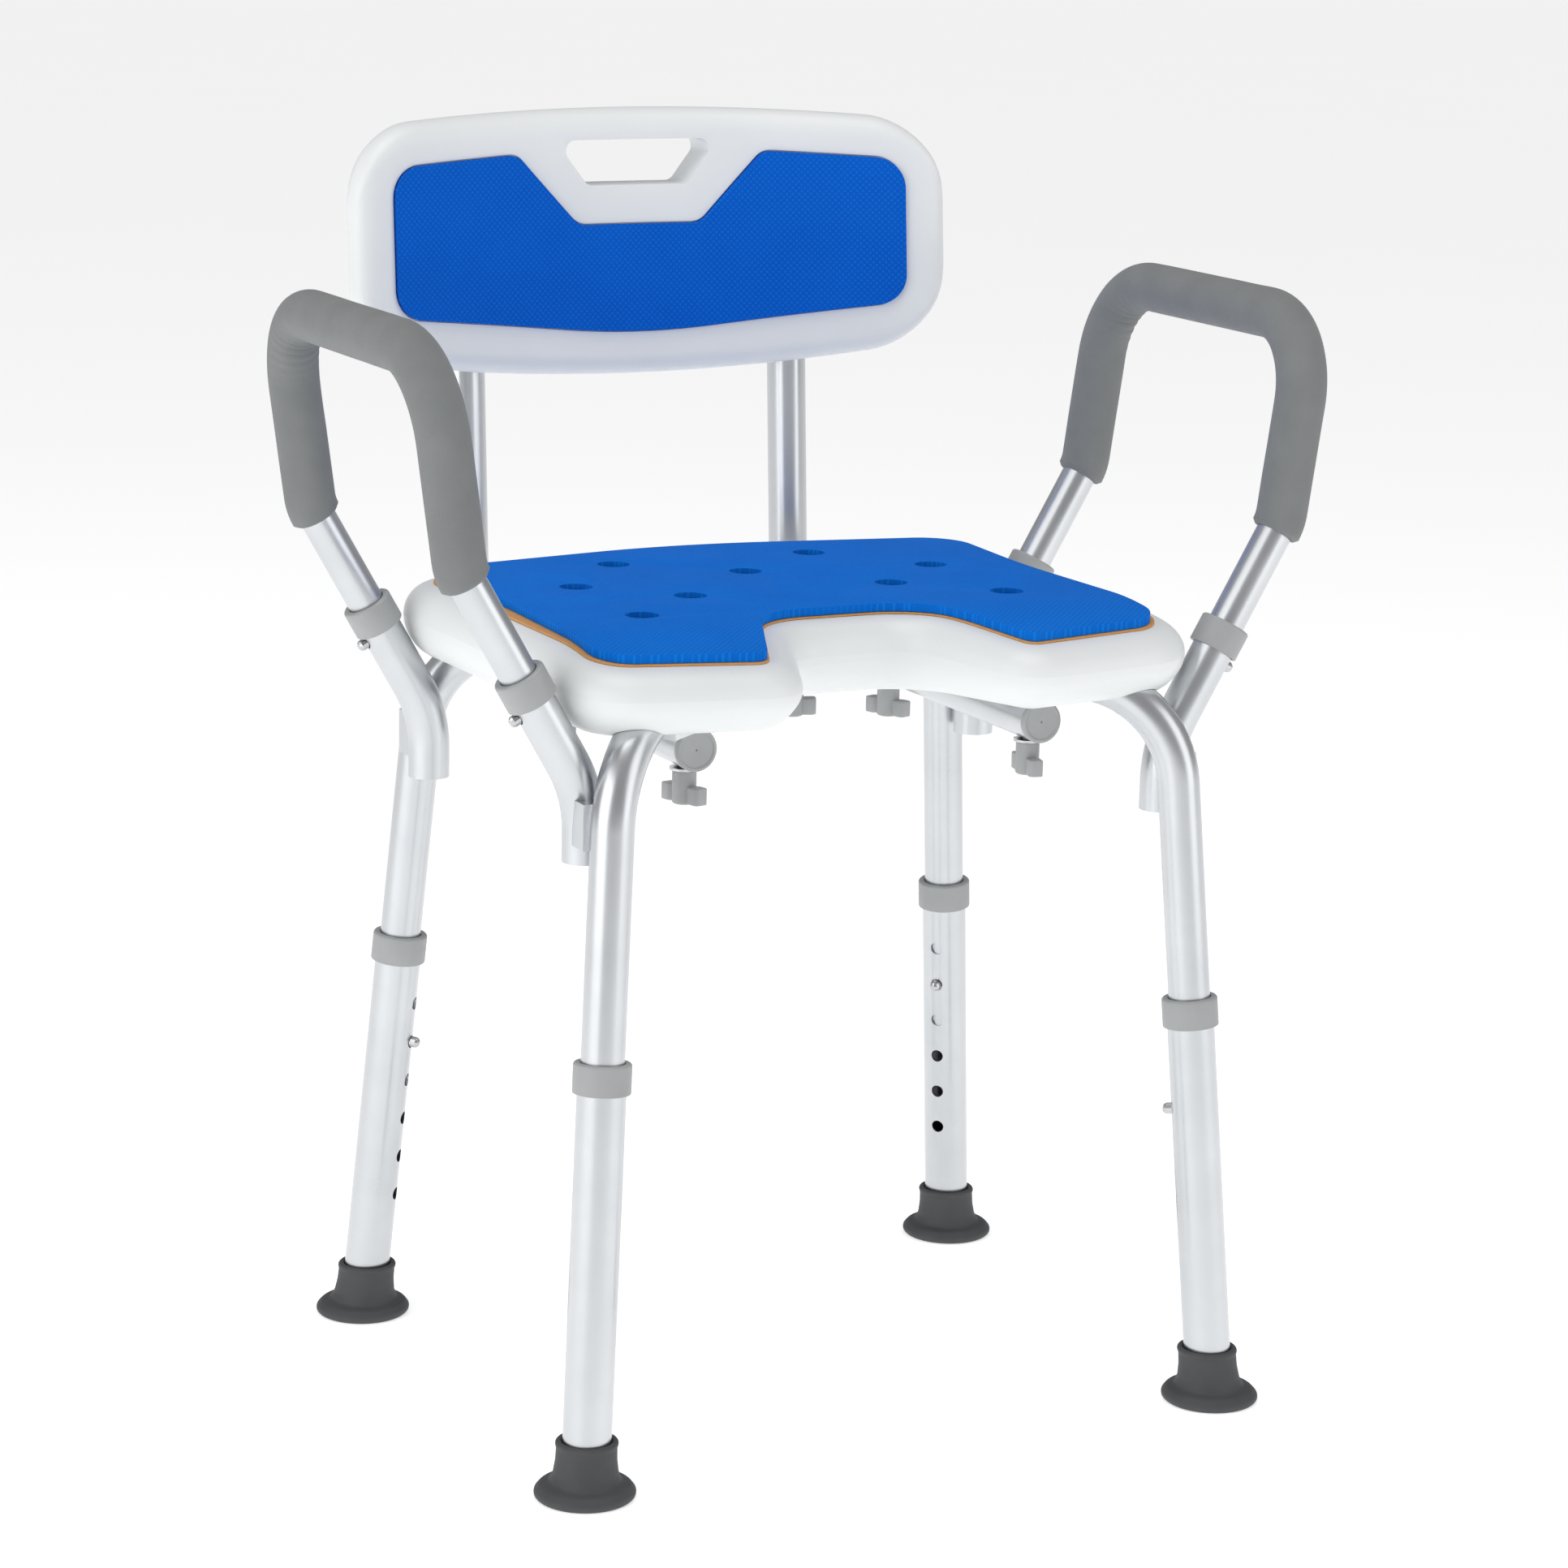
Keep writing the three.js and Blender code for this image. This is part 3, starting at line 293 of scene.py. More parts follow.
for leg in LEGS:
    axis, inward = leg_axis(leg), leg_inward(leg)
    top = leg_point(leg, LEG_COLLAR_Z) + axis * (COLLAR_H / 2 - COLLAR_LIP - GAP)
    path = [(leg_point(leg, SOLE + 2), axis), (top, axis)]
    made = blank("lower_leg_" + leg + "_drawn", *tube_skin(path, LEG_R, LEG_R - TUBE_WALL, inward))
    holes = [leg_point(leg, TOP_HOLE_Z - k * HOLE_PITCH) for k in range(HOLE_COUNT)]
    cut(made, *[pin(hole, hole + inward * (LEG_R + 4), HOLE_R) for hole in holes])
    finished(made, "leg_" + leg, aluminium, ["lower_leg_" + leg])

# ---------------------------------------------------------------- collars
# Grey nylon collars pressed on the ends of the outer tubes, on legs and arms alike.
# Injection moulded: the mould's spark-eroded skin gives them a fine, even, low gloss.
COLLAR_WALL = 2.4
nylon, tree, surface = new_material("moulded_grey_nylon", IOR=1.53)
place = add(tree, "ShaderNodeTexCoord").outputs["Object"]
grain = add(tree, "ShaderNodeTexNoise", {"Vector": place, "Scale": 1800.0, "Detail": 3.0})
shade = add(tree, "ShaderNodeTexNoise", {"Vector": place, "Scale": 60.0, "Detail": 2.0})
tone = add(tree, "ShaderNodeMix", {"Factor": shade.outputs["Fac"]}, data_type="RGBA")
tone.inputs["A"].default_value, tone.inputs["B"].default_value = linear("#9a9c9d"), linear("#a9abab")
tree.links.new(tone.outputs["Result"], surface.inputs["Base Color"])
tree.links.new(spread(tree, grain.outputs["Fac"], 0.38, 0.56), surface.inputs["Roughness"])
bump = add(tree, "ShaderNodeBump", {"Height": grain.outputs["Fac"], "Strength": 0.12, "Distance": 0.0002})
tree.links.new(bump.outputs["Normal"], surface.inputs["Normal"])


def softened(profile, radius=0.7, steps=4):
    """A closed profile with each corner rounded off."""
    rounded = []
    for k, here in enumerate(profile):
        before, after = Vector(profile[k - 1]), Vector(profile[(k + 1) % len(profile)])
        here = Vector(here)
        reach = min(radius, (before - here).length * 0.45, (after - here).length * 0.45)
        first = here + (before - here).normalized() * reach
        last = here + (after - here).normalized() * reach
        for i in range(steps + 1):
            u = i / steps
            rounded.append(first * (1 - u) ** 2 + here * 2 * u * (1 - u) + last * u ** 2)
    return rounded


def turned(origin, axis, reference, profile, sides=64):
    return loft([ring(origin + axis * h, axis, reference, r, sides) for r, h in profile], joined=True)


def collar_profile(outer, inner):
    big, small, half = outer + GAP, inner + GAP, COLLAR_H / 2
    skin = big + COLLAR_WALL
    return softened([(big, -half), (skin, -half), (skin, half - 1), (skin - 1, half),
                     (small, half), (small, half - COLLAR_LIP), (big, half - COLLAR_LIP)])


for leg in LEGS:
    skin = turned(leg_point(leg, LEG_COLLAR_Z), leg_axis(leg), leg_inward(leg), collar_profile(LEG_R, TUBE_R))
    piece("leg_collar_" + leg + "_moulded", *skin, "leg_" + leg, nylon, ["leg_collar_" + leg])

# ---------------------------------------------------------------- feet
# Flared rubber feet pushed over the leg ends, with a flat sole and a lip round the top.
# Compression moulded: matt and slightly dusty grey; the mould's thin parting lines are not drawn.
FLANGE_R = 29.7
FOOT_RIM_Z = 33.6
rubber, tree, surface = new_material("moulded_dark_rubber", IOR=1.52)
place = add(tree, "ShaderNodeTexCoord").outputs["Object"]
grain = add(tree, "ShaderNodeTexNoise", {"Vector": place, "Scale": 900.0, "Detail": 4.0})
dust = add(tree, "ShaderNodeTexNoise", {"Vector": place, "Scale": 90.0, "Detail": 5.0})
tone = add(tree, "ShaderNodeMix", {"Factor": dust.outputs["Fac"]}, data_type="RGBA")
tone.inputs["A"].default_value, tone.inputs["B"].default_value = linear("#3a3c3d"), linear("#4a4c4e")
tree.links.new(tone.outputs["Result"], surface.inputs["Base Color"])
tree.links.new(spread(tree, dust.outputs["Fac"], 0.55, 0.75), surface.inputs["Roughness"])
bump = add(tree, "ShaderNodeBump", {"Height": grain.outputs["Fac"], "Strength": 0.2, "Distance": 0.0003})
tree.links.new(bump.outputs["Normal"], surface.inputs["Normal"])
for leg in LEGS:
    hole = LEG_R + 2 * GAP
    wall = hole + 3.5
    outside = [(FLANGE_R - 2, 0), (FLANGE_R, 2), (FLANGE_R, 4.5), (FLANGE_R - 3, 8), (wall + 3, 9.5),
               (wall + 0.8, 14), (wall - 0.4, 22), (wall - 0.6, FOOT_RIM_Z - 4), (wall, FOOT_RIM_Z - 2.6),
               (wall, FOOT_RIM_Z - 1.2), (wall - 1, FOOT_RIM_Z), (hole, FOOT_RIM_Z), (hole, SOLE),
               (3, SOLE), (0.6, SOLE), (0.6, 0)]
    upright = Vector((0, 0, 1))
    level = leg_inward(leg)
    level.z = 0
    rings = [ring(leg_point(leg, h), upright, level, r, 64) for r, h in softened(outside, 1.6)]
    piece("foot_" + leg + "_moulded", *loft(rings, joined=True), "leg_" + leg, rubber, ["foot_" + leg])

# ---------------------------------------------------------------- seat shell
# Blow-moulded polyethylene seat, hollow, with round drain holes and a deep front cut-out.
# Its edges are rolled round, and two grooves under it hold the cross tubes.
SEAT_TOP = 481.9
SEAT_HALF_W = 206.5
SEAT_EDGE_R, SEAT_LOW_EDGE_R = 19.0, 28.0
FOLD_Y, FOLD_SLOPE, FOLD_EASE = -85.0, 0.13, 34.0
DRAIN_R = 10.2
DRAINS = [(0, 71), (68, 120), (68, 5.5), (121.5, 55), (122, -44)]
DRAINS += [(-x, y) for x, y in DRAINS if x]
PAD_INSET = 21.0
RECESS_TOP, RECESS_R = 459.0, ROUND_START + 4
FOLD_DEPTH = 34.0          # the part of the wall that gives when the top dips

# White high-density polyethylene: waxy, half matt, faintly uneven where the wall cooled.
polyethylene, tree, surface = new_material("blow_moulded_white_polyethylene", IOR=1.54)
place = add(tree, "ShaderNodeTexCoord").outputs["Object"]
orange = add(tree, "ShaderNodeTexNoise", {"Vector": place, "Scale": 420.0, "Detail": 3.0})
wave = add(tree, "ShaderNodeTexNoise", {"Vector": place, "Scale": 14.0, "Detail": 1.0})
tone = add(tree, "ShaderNodeMix", {"Factor": wave.outputs["Fac"]}, data_type="RGBA")
tone.inputs["A"].default_value, tone.inputs["B"].default_value = linear("#e3e6e6"), linear("#ebeded")
tree.links.new(tone.outputs["Result"], surface.inputs["Base Color"])
tree.links.new(spread(tree, orange.outputs["Fac"], 0.36, 0.48), surface.inputs["Roughness"])
mixed = add(tree, "ShaderNodeMath", {0: orange.outputs["Fac"], 1: wave.outputs["Fac"]}, operation="ADD")
bump = add(tree, "ShaderNodeBump", {"Height": mixed.outputs["Value"], "Strength": 0.12, "Distance": 0.0006})
tree.links.new(bump.outputs["Normal"], surface.inputs["Normal"])


def rounded_outline(corners, step=0.12):
    """Plan outline with a radius at each corner: (x, y, outward x, outward y) all round."""
    points = []
    for k, (x, y, radius) in enumerate(corners):
        before, after = Vector(corners[k - 1][:2]), Vector(corners[(k + 1) % len(corners)][:2])
        here = Vector((x, y))
        into, out = (here - before).normalized(), (after - here).normalized()
        turn = math.atan2(into.x * out.y - into.y * out.x, into.dot(out))
        reach = radius * math.tan(abs(turn) / 2)
        side = 1 if turn > 0 else -1
        start = here - into * reach
        centre = start + Vector((-into.y, into.x)) * side * radius
        steps = max(2, round(abs(turn) / step), round(abs(turn) * radius / 12))
        for i in range(steps + 1):
            a = turn * i / steps
            spoke = Matrix.Rotation(a, 2) @ (start - centre)
            out_way = Matrix.Rotation(a, 2) @ Vector((into.y, -into.x))
            point = centre + spoke
            points.append((point.x, point.y, out_way.x, out_way.y))
    return points


def inset(outline, amount):
    return [(x - nx * amount, y - ny * amount) for x, y, nx, ny in outline]


def seat_outline(waist=4.0):
    right = [(38, -77, 24), (73, -164, 30), (SEAT_HALF_W, -144, 45),
             (SEAT_HALF_W - waist, 35, 500), (SEAT_HALF_W, 162, 52)]
    left = [(-x, y, r) for x, y, r in reversed(right)]
    return rounded_outline(right + [(0, 197, 400)] + left)


def fold(y):
    """How far the seat surface has dipped at y, with a soft knee."""
    ahead = (FOLD_Y - y) / FOLD_EASE
    if ahead < -0.5:
        return 0.0
    if ahead > 0.5:
        return FOLD_SLOPE * (FOLD_Y - y)
    return FOLD_SLOPE * FOLD_EASE * (ahead + 0.5) ** 2 / 2


def sliced(made):
    """Extra cuts across a piece round the fold line, so that it can bend there."""
    shape = bmesh.new()
    shape.from_mesh(made.data)
    for k in range(-4, 5):
        point = at(0, FOLD_Y + k * FOLD_EASE / 8, 0)
        everything = shape.verts[:] + shape.edges[:] + shape.faces[:]
        bmesh.ops.bisect_plane(shape, geom=everything, plane_co=point, plane_no=(0, 1, 0), dist=1e-7)
    shape.to_mesh(made.data)
    shape.free()
    return made


def bevelled(made, width, segments=3, angle=40):
    edge = made.modifiers.new("edge", "BEVEL")
    edge.width, edge.segments, edge.limit_method = width * MM, segments, "ANGLE"
    edge.angle_limit = math.radians(angle)
    return applied(made)


def folded(made, low, top):
    """Lowers the upper part of a piece where the seat dips."""
    for vertex in made.data.vertices:
        share = (vertex.co.z / MM - low) / (top - low)
        share = min(1, max(0, share))
        vertex.co.z -= share * fold((vertex.co.y - OFFSET_Y) / MM) * MM
    return made


outline = seat_outline()
quarter = [math.pi / 2 * k / 9 for k in range(10)]
lower = [(SEAT_LOW_EDGE_R * (1 - math.sin(a)), SEAT_LOW + SEAT_LOW_EDGE_R * (1 - math.cos(a)))
         for a in quarter]
upper = [(SEAT_EDGE_R * (1 - math.cos(a)), SEAT_TOP - SEAT_EDGE_R * (1 - math.sin(a)))
         for a in quarter]
rings = [[Vector((x, y, z)) for x, y in inset(outline, d)] for d, z in lower + upper]
seat = blank("seat_shell_moulded", *loft(rings))
sliced(seat)
folded(seat, SEAT_TOP - FOLD_DEPTH, SEAT_TOP)
tools = []
for front, rear in (("fl", "rr"), ("fr", "rl")):
    along = (leg_point(rear, CROSS_Z) - leg_point(front, CROSS_Z)).normalized()
    sideways = Vector((0, 0, 1)).cross(along).normalized()
    rings = [ring(p, t, sideways, TUBE_R + GAP, 40) for p, t in cross_path(front, rear)]
    tools.append(blank("groove", *loft(rings)))
    wide = sideways * (TUBE_R + GAP)
    reach = along * ((leg_point(front, CROSS_Z) - crossing()).length - CROSS_BEND + 16)
    plan = [crossing() - reach - wide, crossing() + reach - wide,
            crossing() + reach + wide, crossing() - reach + wide]
    levels = [[Vector((p.x, p.y, z)) for p in plan] for z in (SEAT_LOW - 5, CROSS_Z)]
    tools.append(blank("slot", *loft([level[::-1] for level in levels])))
recess = [Vector((0, crossing().y, z)) for z in (SEAT_LOW - 5, RECESS_TOP)]
tools.append(pin(*recess, RECESS_R, 64))
tools += [pin(Vector((x, y, SEAT_LOW - 5)), Vector((x, y, SEAT_TOP + 5)), DRAIN_R, 48) for x, y in DRAINS]
cut(seat, *tools)
finished(seat, "frame", polyethylene, ["seat_shell"], crease=32)

# ---------------------------------------------------------------- seat pad and its backing
# Closed-cell EVA foam sheet, 5 mm, die-cut with round drain holes and stuck down
# with a tan double-sided sheet that shows as a thin line round the pad.
PAD_T, BACKING_T, BACKING_SHOWS = 5.0, 1.0, 1.2
PUNCH_LOW, PUNCH_HIGH = 460.0, 500.0
DIMPLE_PITCH = 4.0


def eva(name, deep, mid, dimple_painted_highlight, across, along):
    """Embossed EVA foam: matt skin with staggered dimples and fine closed cells, the dimples also painted
    lighter as a painted highlight.
    """
    material, tree, surface = new_material(name, IOR=1.18)
    place = add(tree, "ShaderNodeTexCoord").outputs["Object"]
    parts = add(tree, "ShaderNodeSeparateXYZ", {"Vector": place}).outputs
    turn = 2 * math.pi / (DIMPLE_PITCH * MM)
    waves = []
    for axis in (across, along):
        angle = add(tree, "ShaderNodeMath", {0: parts[axis], 1: turn}, operation="MULTIPLY").outputs[0]
        waves.append(add(tree, "ShaderNodeMath", {0: angle}, operation="SINE").outputs[0])
    lattice = add(tree, "ShaderNodeMath", {0: waves[0], 1: waves[1]}, operation="MULTIPLY").outputs[0]
    dots = add(tree, "ShaderNodeMapRange", {"Value": lattice, "From Min": -0.1, "From Max": 0.75},
               interpolation_type="SMOOTHSTEP").outputs[0]
    cells = add(tree, "ShaderNodeTexNoise", {"Vector": place, "Scale": 1100.0, "Detail": 3.0}).outputs["Fac"]
    cloud = add(tree, "ShaderNodeTexNoise", {"Vector": place, "Scale": 24.0, "Detail": 3.0}).outputs["Fac"]
    base = add(tree, "ShaderNodeMix", {"Factor": cloud}, data_type="RGBA")
    base.inputs["A"].default_value, base.inputs["B"].default_value = linear(deep), linear(mid)
    # painted highlight: the base colour is lightened on the dimple pattern, standing in for light caught by
    # the embossing
    tone = add(tree, "ShaderNodeMix", {"Factor": spread(tree, dots, 0.0, 0.5)}, data_type="RGBA")
    tree.links.new(base.outputs["Result"], tone.inputs["A"])
    tone.inputs["B"].default_value = linear(dimple_painted_highlight)
    tree.links.new(tone.outputs["Result"], surface.inputs["Base Color"])
    tree.links.new(spread(tree, cells, 0.62, 0.85), surface.inputs["Roughness"])
    height = add(tree, "ShaderNodeMath", {0: dots, 1: cells}, operation="ADD").outputs[0]
    bump = add(tree, "ShaderNodeBump", {"Height": height, "Strength": 0.35, "Distance": 0.0004})
    tree.links.new(bump.outputs["Normal"], surface.inputs["Normal"])
    return material


# the third colour is the painted highlight on the dimples
seat_eva = eva("embossed_blue_eva_foam", "#0064cc", "#0472da", "#0c8af0", 0, 1)


def sheet_blank(name, outline_at, low, high):
    rings = [[Vector((x, y, z)) for x, y in outline_at] for z in (low, high)]
    return blank(name, *loft(rings))


def draped(made):
    """Lowers a whole sheet by the dip of the seat beneath it."""
    for vertex in made.data.vertices:
        vertex.co.z -= fold((vertex.co.y - OFFSET_Y) / MM) * MM
    return made


def drain_pins(radius):
    return [pin(Vector((x, y, PUNCH_LOW)), Vector((x, y, PUNCH_HIGH)), radius, 48) for x, y in DRAINS]


backing_low = SEAT_TOP + GAP
pad_low = backing_low + BACKING_T + GAP
pad = sheet_blank("seat_pad_foam", inset(seat_outline(8), PAD_INSET), pad_low, pad_low + PAD_T)
cut(pad, *drain_pins(DRAIN_R))
bevelled(pad, 1.4, 4)
sliced(pad)
draped(pad)
finished(pad, "frame", seat_eva, ["seat_pad"])

tan, tree, surface = new_material("tan_adhesive_sheet", IOR=1.46, Roughness=0.8)
place = add(tree, "ShaderNodeTexCoord").outputs["Object"]
fibre = add(tree, "ShaderNodeTexNoise", {"Vector": place, "Scale": 700.0, "Detail": 5.0}).outputs["Fac"]
tone = add(tree, "ShaderNodeMix", {"Factor": fibre}, data_type="RGBA")
tone.inputs["A"].default_value, tone.inputs["B"].default_value = linear("#c48442"), linear("#e6b070")
tree.links.new(tone.outputs["Result"], surface.inputs["Base Color"])
bump = add(tree, "ShaderNodeBump", {"Height": fibre, "Strength": 0.3, "Distance": 0.0002})
tree.links.new(bump.outputs["Normal"], surface.inputs["Normal"])
backing_plan = inset(seat_outline(0), PAD_INSET - BACKING_SHOWS)
backing = sheet_blank("seat_pad_backing_sheet", backing_plan, backing_low, backing_low + BACKING_T)
cut(backing, *drain_pins(DRAIN_R + 1))
sliced(backing)
draped(backing)
finished(backing, "frame", tan, ["seat_pad_backing"])

# ---------------------------------------------------------------- back posts and caps
# Two drawn tubes run level under the seat and bend up behind it into the back. They are
# bolted up against the cross tubes, and nylon plugs close their open front ends.
POST_X = 114.4
POST_Z = CROSS_Z - 2 * TUBE_R - GAP
POST_FRONT_Y, POST_REAR_Y, POST_BEND = -103.0, 241.0, 52.0
POST_TOP, POST_LEAN = 716.0, 0.0705


def post_path(side, top=POST_TOP):
    x = side * POST_X
    corners = [(x, POST_FRONT_Y, POST_Z), (x, POST_REAR_Y, POST_Z),
               (x, POST_REAR_Y + POST_LEAN * (top - POST_Z), top)]
    return rounded_path([Vector(c) for c in corners], [POST_BEND])


for end, side in (("l", -1), ("r", 1)):
    skin = tube_skin(post_path(side), TUBE_R, TUBE_R - TUBE_WALL, Vector((1, 0, 0)))
    piece("back_post_" + end + "_drawn", *skin, "frame", aluminium, ["back_post_" + end])
    plug, face = TUBE_R - TUBE_WALL - GAP, TUBE_R + GAP
    profile = softened([(plug, -9), (plug, GAP), (face, GAP), (face, 3.4), (face - 0.8, 4.2), (face - 2, 4.2),
                        (face - 2.6, 3.4), (0.4, 3.4), (0.4, -9)], 0.4)
    origin = Vector((side * POST_X, POST_FRONT_Y, POST_Z))
    skin = turned(origin, Vector((0, -1, 0)), Vector((1, 0, 0)), profile)
    piece("post_cap_" + end + "_moulded", *skin, "frame", nylon, ["post_cap_" + end])

# ---------------------------------------------------------------- wing knobs
# Grey nylon wing knobs moulded round 6 mm studs clamp the seat and tubes from below,
# each on a polished washer. The steel made here is for those washers and the snap buttons.
KNOB_TURNS = {"centre": -20, "fl": -76, "fr": 79, "rl": 30, "rr": -71}
KNOB_H, KNOB_R, WING_H, WING_HALF = 20.0, 7.2, 11.0, 15.0
STUD_R, STUD_TOP = 3.0, 467.9

steel, tree, surface = new_material("polished_steel", Metallic=1.0)
place = add(tree, "ShaderNodeTexCoord").outputs["Object"]
buff = add(tree, "ShaderNodeTexNoise", {"Vector": place, "Scale": 500.0, "Detail": 4.0}).outputs["Fac"]
tone = add(tree, "ShaderNodeMix", {"Factor": buff}, data_type="RGBA")
tone.inputs["A"].default_value, tone.inputs["B"].default_value = linear("#b4b5b7"), linear("#cfd0d1")
tree.links.new(tone.outputs["Result"], surface.inputs["Base Color"])
tree.links.new(spread(tree, buff, 0.12, 0.26), surface.inputs["Roughness"])

for name, turn_deg in KNOB_TURNS.items():
    low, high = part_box("washer_" + name)
    centre = Vector(((low[0] + high[0]) / 2 / MM, ((low[1] + high[1]) / 2 - OFFSET_Y) / MM, 0))
    top = low[2] / MM - GAP
    bottom = top - KNOB_H
    profile = softened([(0.4, bottom), (KNOB_R - 1, bottom), (KNOB_R, bottom + 1),
                        (KNOB_R, top), (0.4, top)], 0.6)
    skin = turned(centre, Vector((0, 0, 1)), Vector((1, 0, 0)), profile, 48)
    knob = blank("knob_" + name + "_moulded", *skin)
    half_wing = [(-WING_HALF, -5.4), (-9, -5.4), (-6, -3.2), (WING_HALF - 2, -3.2), (WING_HALF, -1.2)]
    flat = half_wing + [(-x, -y) for x, y in half_wing]
    plan = [Matrix.Rotation(math.radians(turn_deg), 2) @ Vector(p) for p in flat]
    rings = [[Vector((centre.x + p.x, centre.y + p.y, z)) for p in plan]
             for z in (bottom + 0.6, bottom + WING_H)]
    wings = blank("wings", *loft(rings))
    bevelled(wings, 0.9, 3, 25)
    stud = pin(Vector((centre.x, centre.y, bottom + 2)), Vector((centre.x, centre.y, STUD_TOP)), STUD_R, 24)
    cut(knob, wings, stud, operation="UNION")
    finished(knob, "knob_" + name + "_body", nylon, ["knob_" + name])

# ---------------------------------------------------------------- arm sockets, arms and grips
# Sockets are bent tubes welded to the legs. The arms are narrower tubes bent into a
# high loop that slide down into them, with grey foam sleeves over the hand rest.
SOCKET_X, SOCKET_END_Z, SOCKET_BEND = 191.0, 363.0, 80.0
ARM_R = TUBE_R - TUBE_WALL - GAP
TILT = math.radians(30)
ARM_COLLAR_X, ARM_COLLAR_Z = 228.2, 467.0
ARM_BUTTON_DROP, ARM_TAIL = 13.4, 24.0
ELBOW_Z, ARM_TOP_Z, ARM_SLOPE, ARM_CORNER = 536.0, 656.5, 0.14, 50.0
GRIP_R, GRIP_EDGE = 15.5, 2.2
WRINKLE_PITCH, WRINKLE_DEPTH = 7.5, 2.6
WRINKLE_Y, WRINKLE_Z = 95.0, 640.0          # inside of the rear bend


def arm_axis(side):
    return Vector((side * math.sin(TILT), 0, math.cos(TILT)))


def arm_point(side, y, along):
    return Vector((side * ARM_COLLAR_X, y, ARM_COLLAR_Z)) + arm_axis(side) * along


for leg, (side, sign, *_) in LEGS.items():
    y = sign * ARM_SOCKET_Y
    knee = ARM_COLLAR_Z - (ARM_COLLAR_X - SOCKET_X) / math.tan(TILT)
    corners = [Vector((side * SOCKET_X, y, SOCKET_END_Z)), Vector((side * SOCKET_X, y, knee)),
               arm_point(side, y, COLLAR_H / 2 - COLLAR_LIP - GAP)]
    path = rounded_path(corners, [SOCKET_BEND], 0.06)
    skin = tube_skin(path, TUBE_R, TUBE_R - TUBE_WALL, Vector((0, 1, 0)))
    made = blank("arm_socket_" + leg + "_drawn", *skin)
    hole = arm_point(side, y, -ARM_BUTTON_DROP)
    outward = Vector((side * math.cos(TILT), 0, -math.sin(TILT)))
    cut(made, pin(hole, hole + outward * (TUBE_R + 3), HOLE_R))
    finished(made, "frame", aluminium, ["arm_socket_" + leg])
    skin = turned(arm_point(side, y, 0), arm_axis(side), Vector((0, 1, 0)), collar_profile(TUBE_R, ARM_R))
    piece("arm_collar_" + leg + "_moulded", *skin, "frame", nylon, ["arm_collar_" + leg])


def arm_path(side, start):
    reach = (ELBOW_Z - ARM_COLLAR_Z) / math.cos(TILT)
    rise = Vector((side * ARM_SLOPE * (ARM_TOP_Z - ELBOW_Z), 0, ARM_TOP_Z - ELBOW_Z))
    front, rear = -ARM_SOCKET_Y, ARM_SOCKET_Y
    elbows = [arm_point(side, y, reach) for y in (front, rear)]
    corners = [arm_point(side, front, start), elbows[0], elbows[0] + rise, elbows[1] + rise, elbows[1],
               arm_point(side, rear, start)]
    return rounded_path(corners, [30, ARM_CORNER, ARM_CORNER, 30], 0.07)


# Grey nitrile foam sleeve: soft, dry and matt, its skin a fine crust of closed cells.
foam, tree, surface = new_material("grey_nitrile_foam", IOR=1.4, Sheen_Weight=0.08, Sheen_Roughness=0.5)
place = add(tree, "ShaderNodeTexCoord").outputs["Object"]
cells = add(tree, "ShaderNodeTexVoronoi", {"Vector": place, "Scale": 900.0}).outputs["Distance"]
cloud = add(tree, "ShaderNodeTexNoise", {"Vector": place, "Scale": 45.0, "Detail": 4.0}).outputs["Fac"]
tone = add(tree, "ShaderNodeMix", {"Factor": cloud}, data_type="RGBA")
tone.inputs["A"].default_value, tone.inputs["B"].default_value = linear("#747777"), linear("#848686")
tree.links.new(tone.outputs["Result"], surface.inputs["Base Color"])
tree.links.new(spread(tree, cloud, 0.78, 0.95), surface.inputs["Roughness"])
bump = add(tree, "ShaderNodeBump", {"Height": cells, "Strength": 0.25, "Distance": 0.0004})
tree.links.new(bump.outputs["Normal"], surface.inputs["Normal"])


def along_path(path, spacing):
    """The path with extra stations, so that its skin can carry small shapes."""
    dense = []
    for (p, t), (q, u) in zip(path, path[1:]):
        steps = max(1, round((q - p).length / spacing))
        dense += [(p.lerp(q, k / steps), t.lerp(u, k / steps).normalized()) for k in range(steps)]
    return dense + [path[-1]]


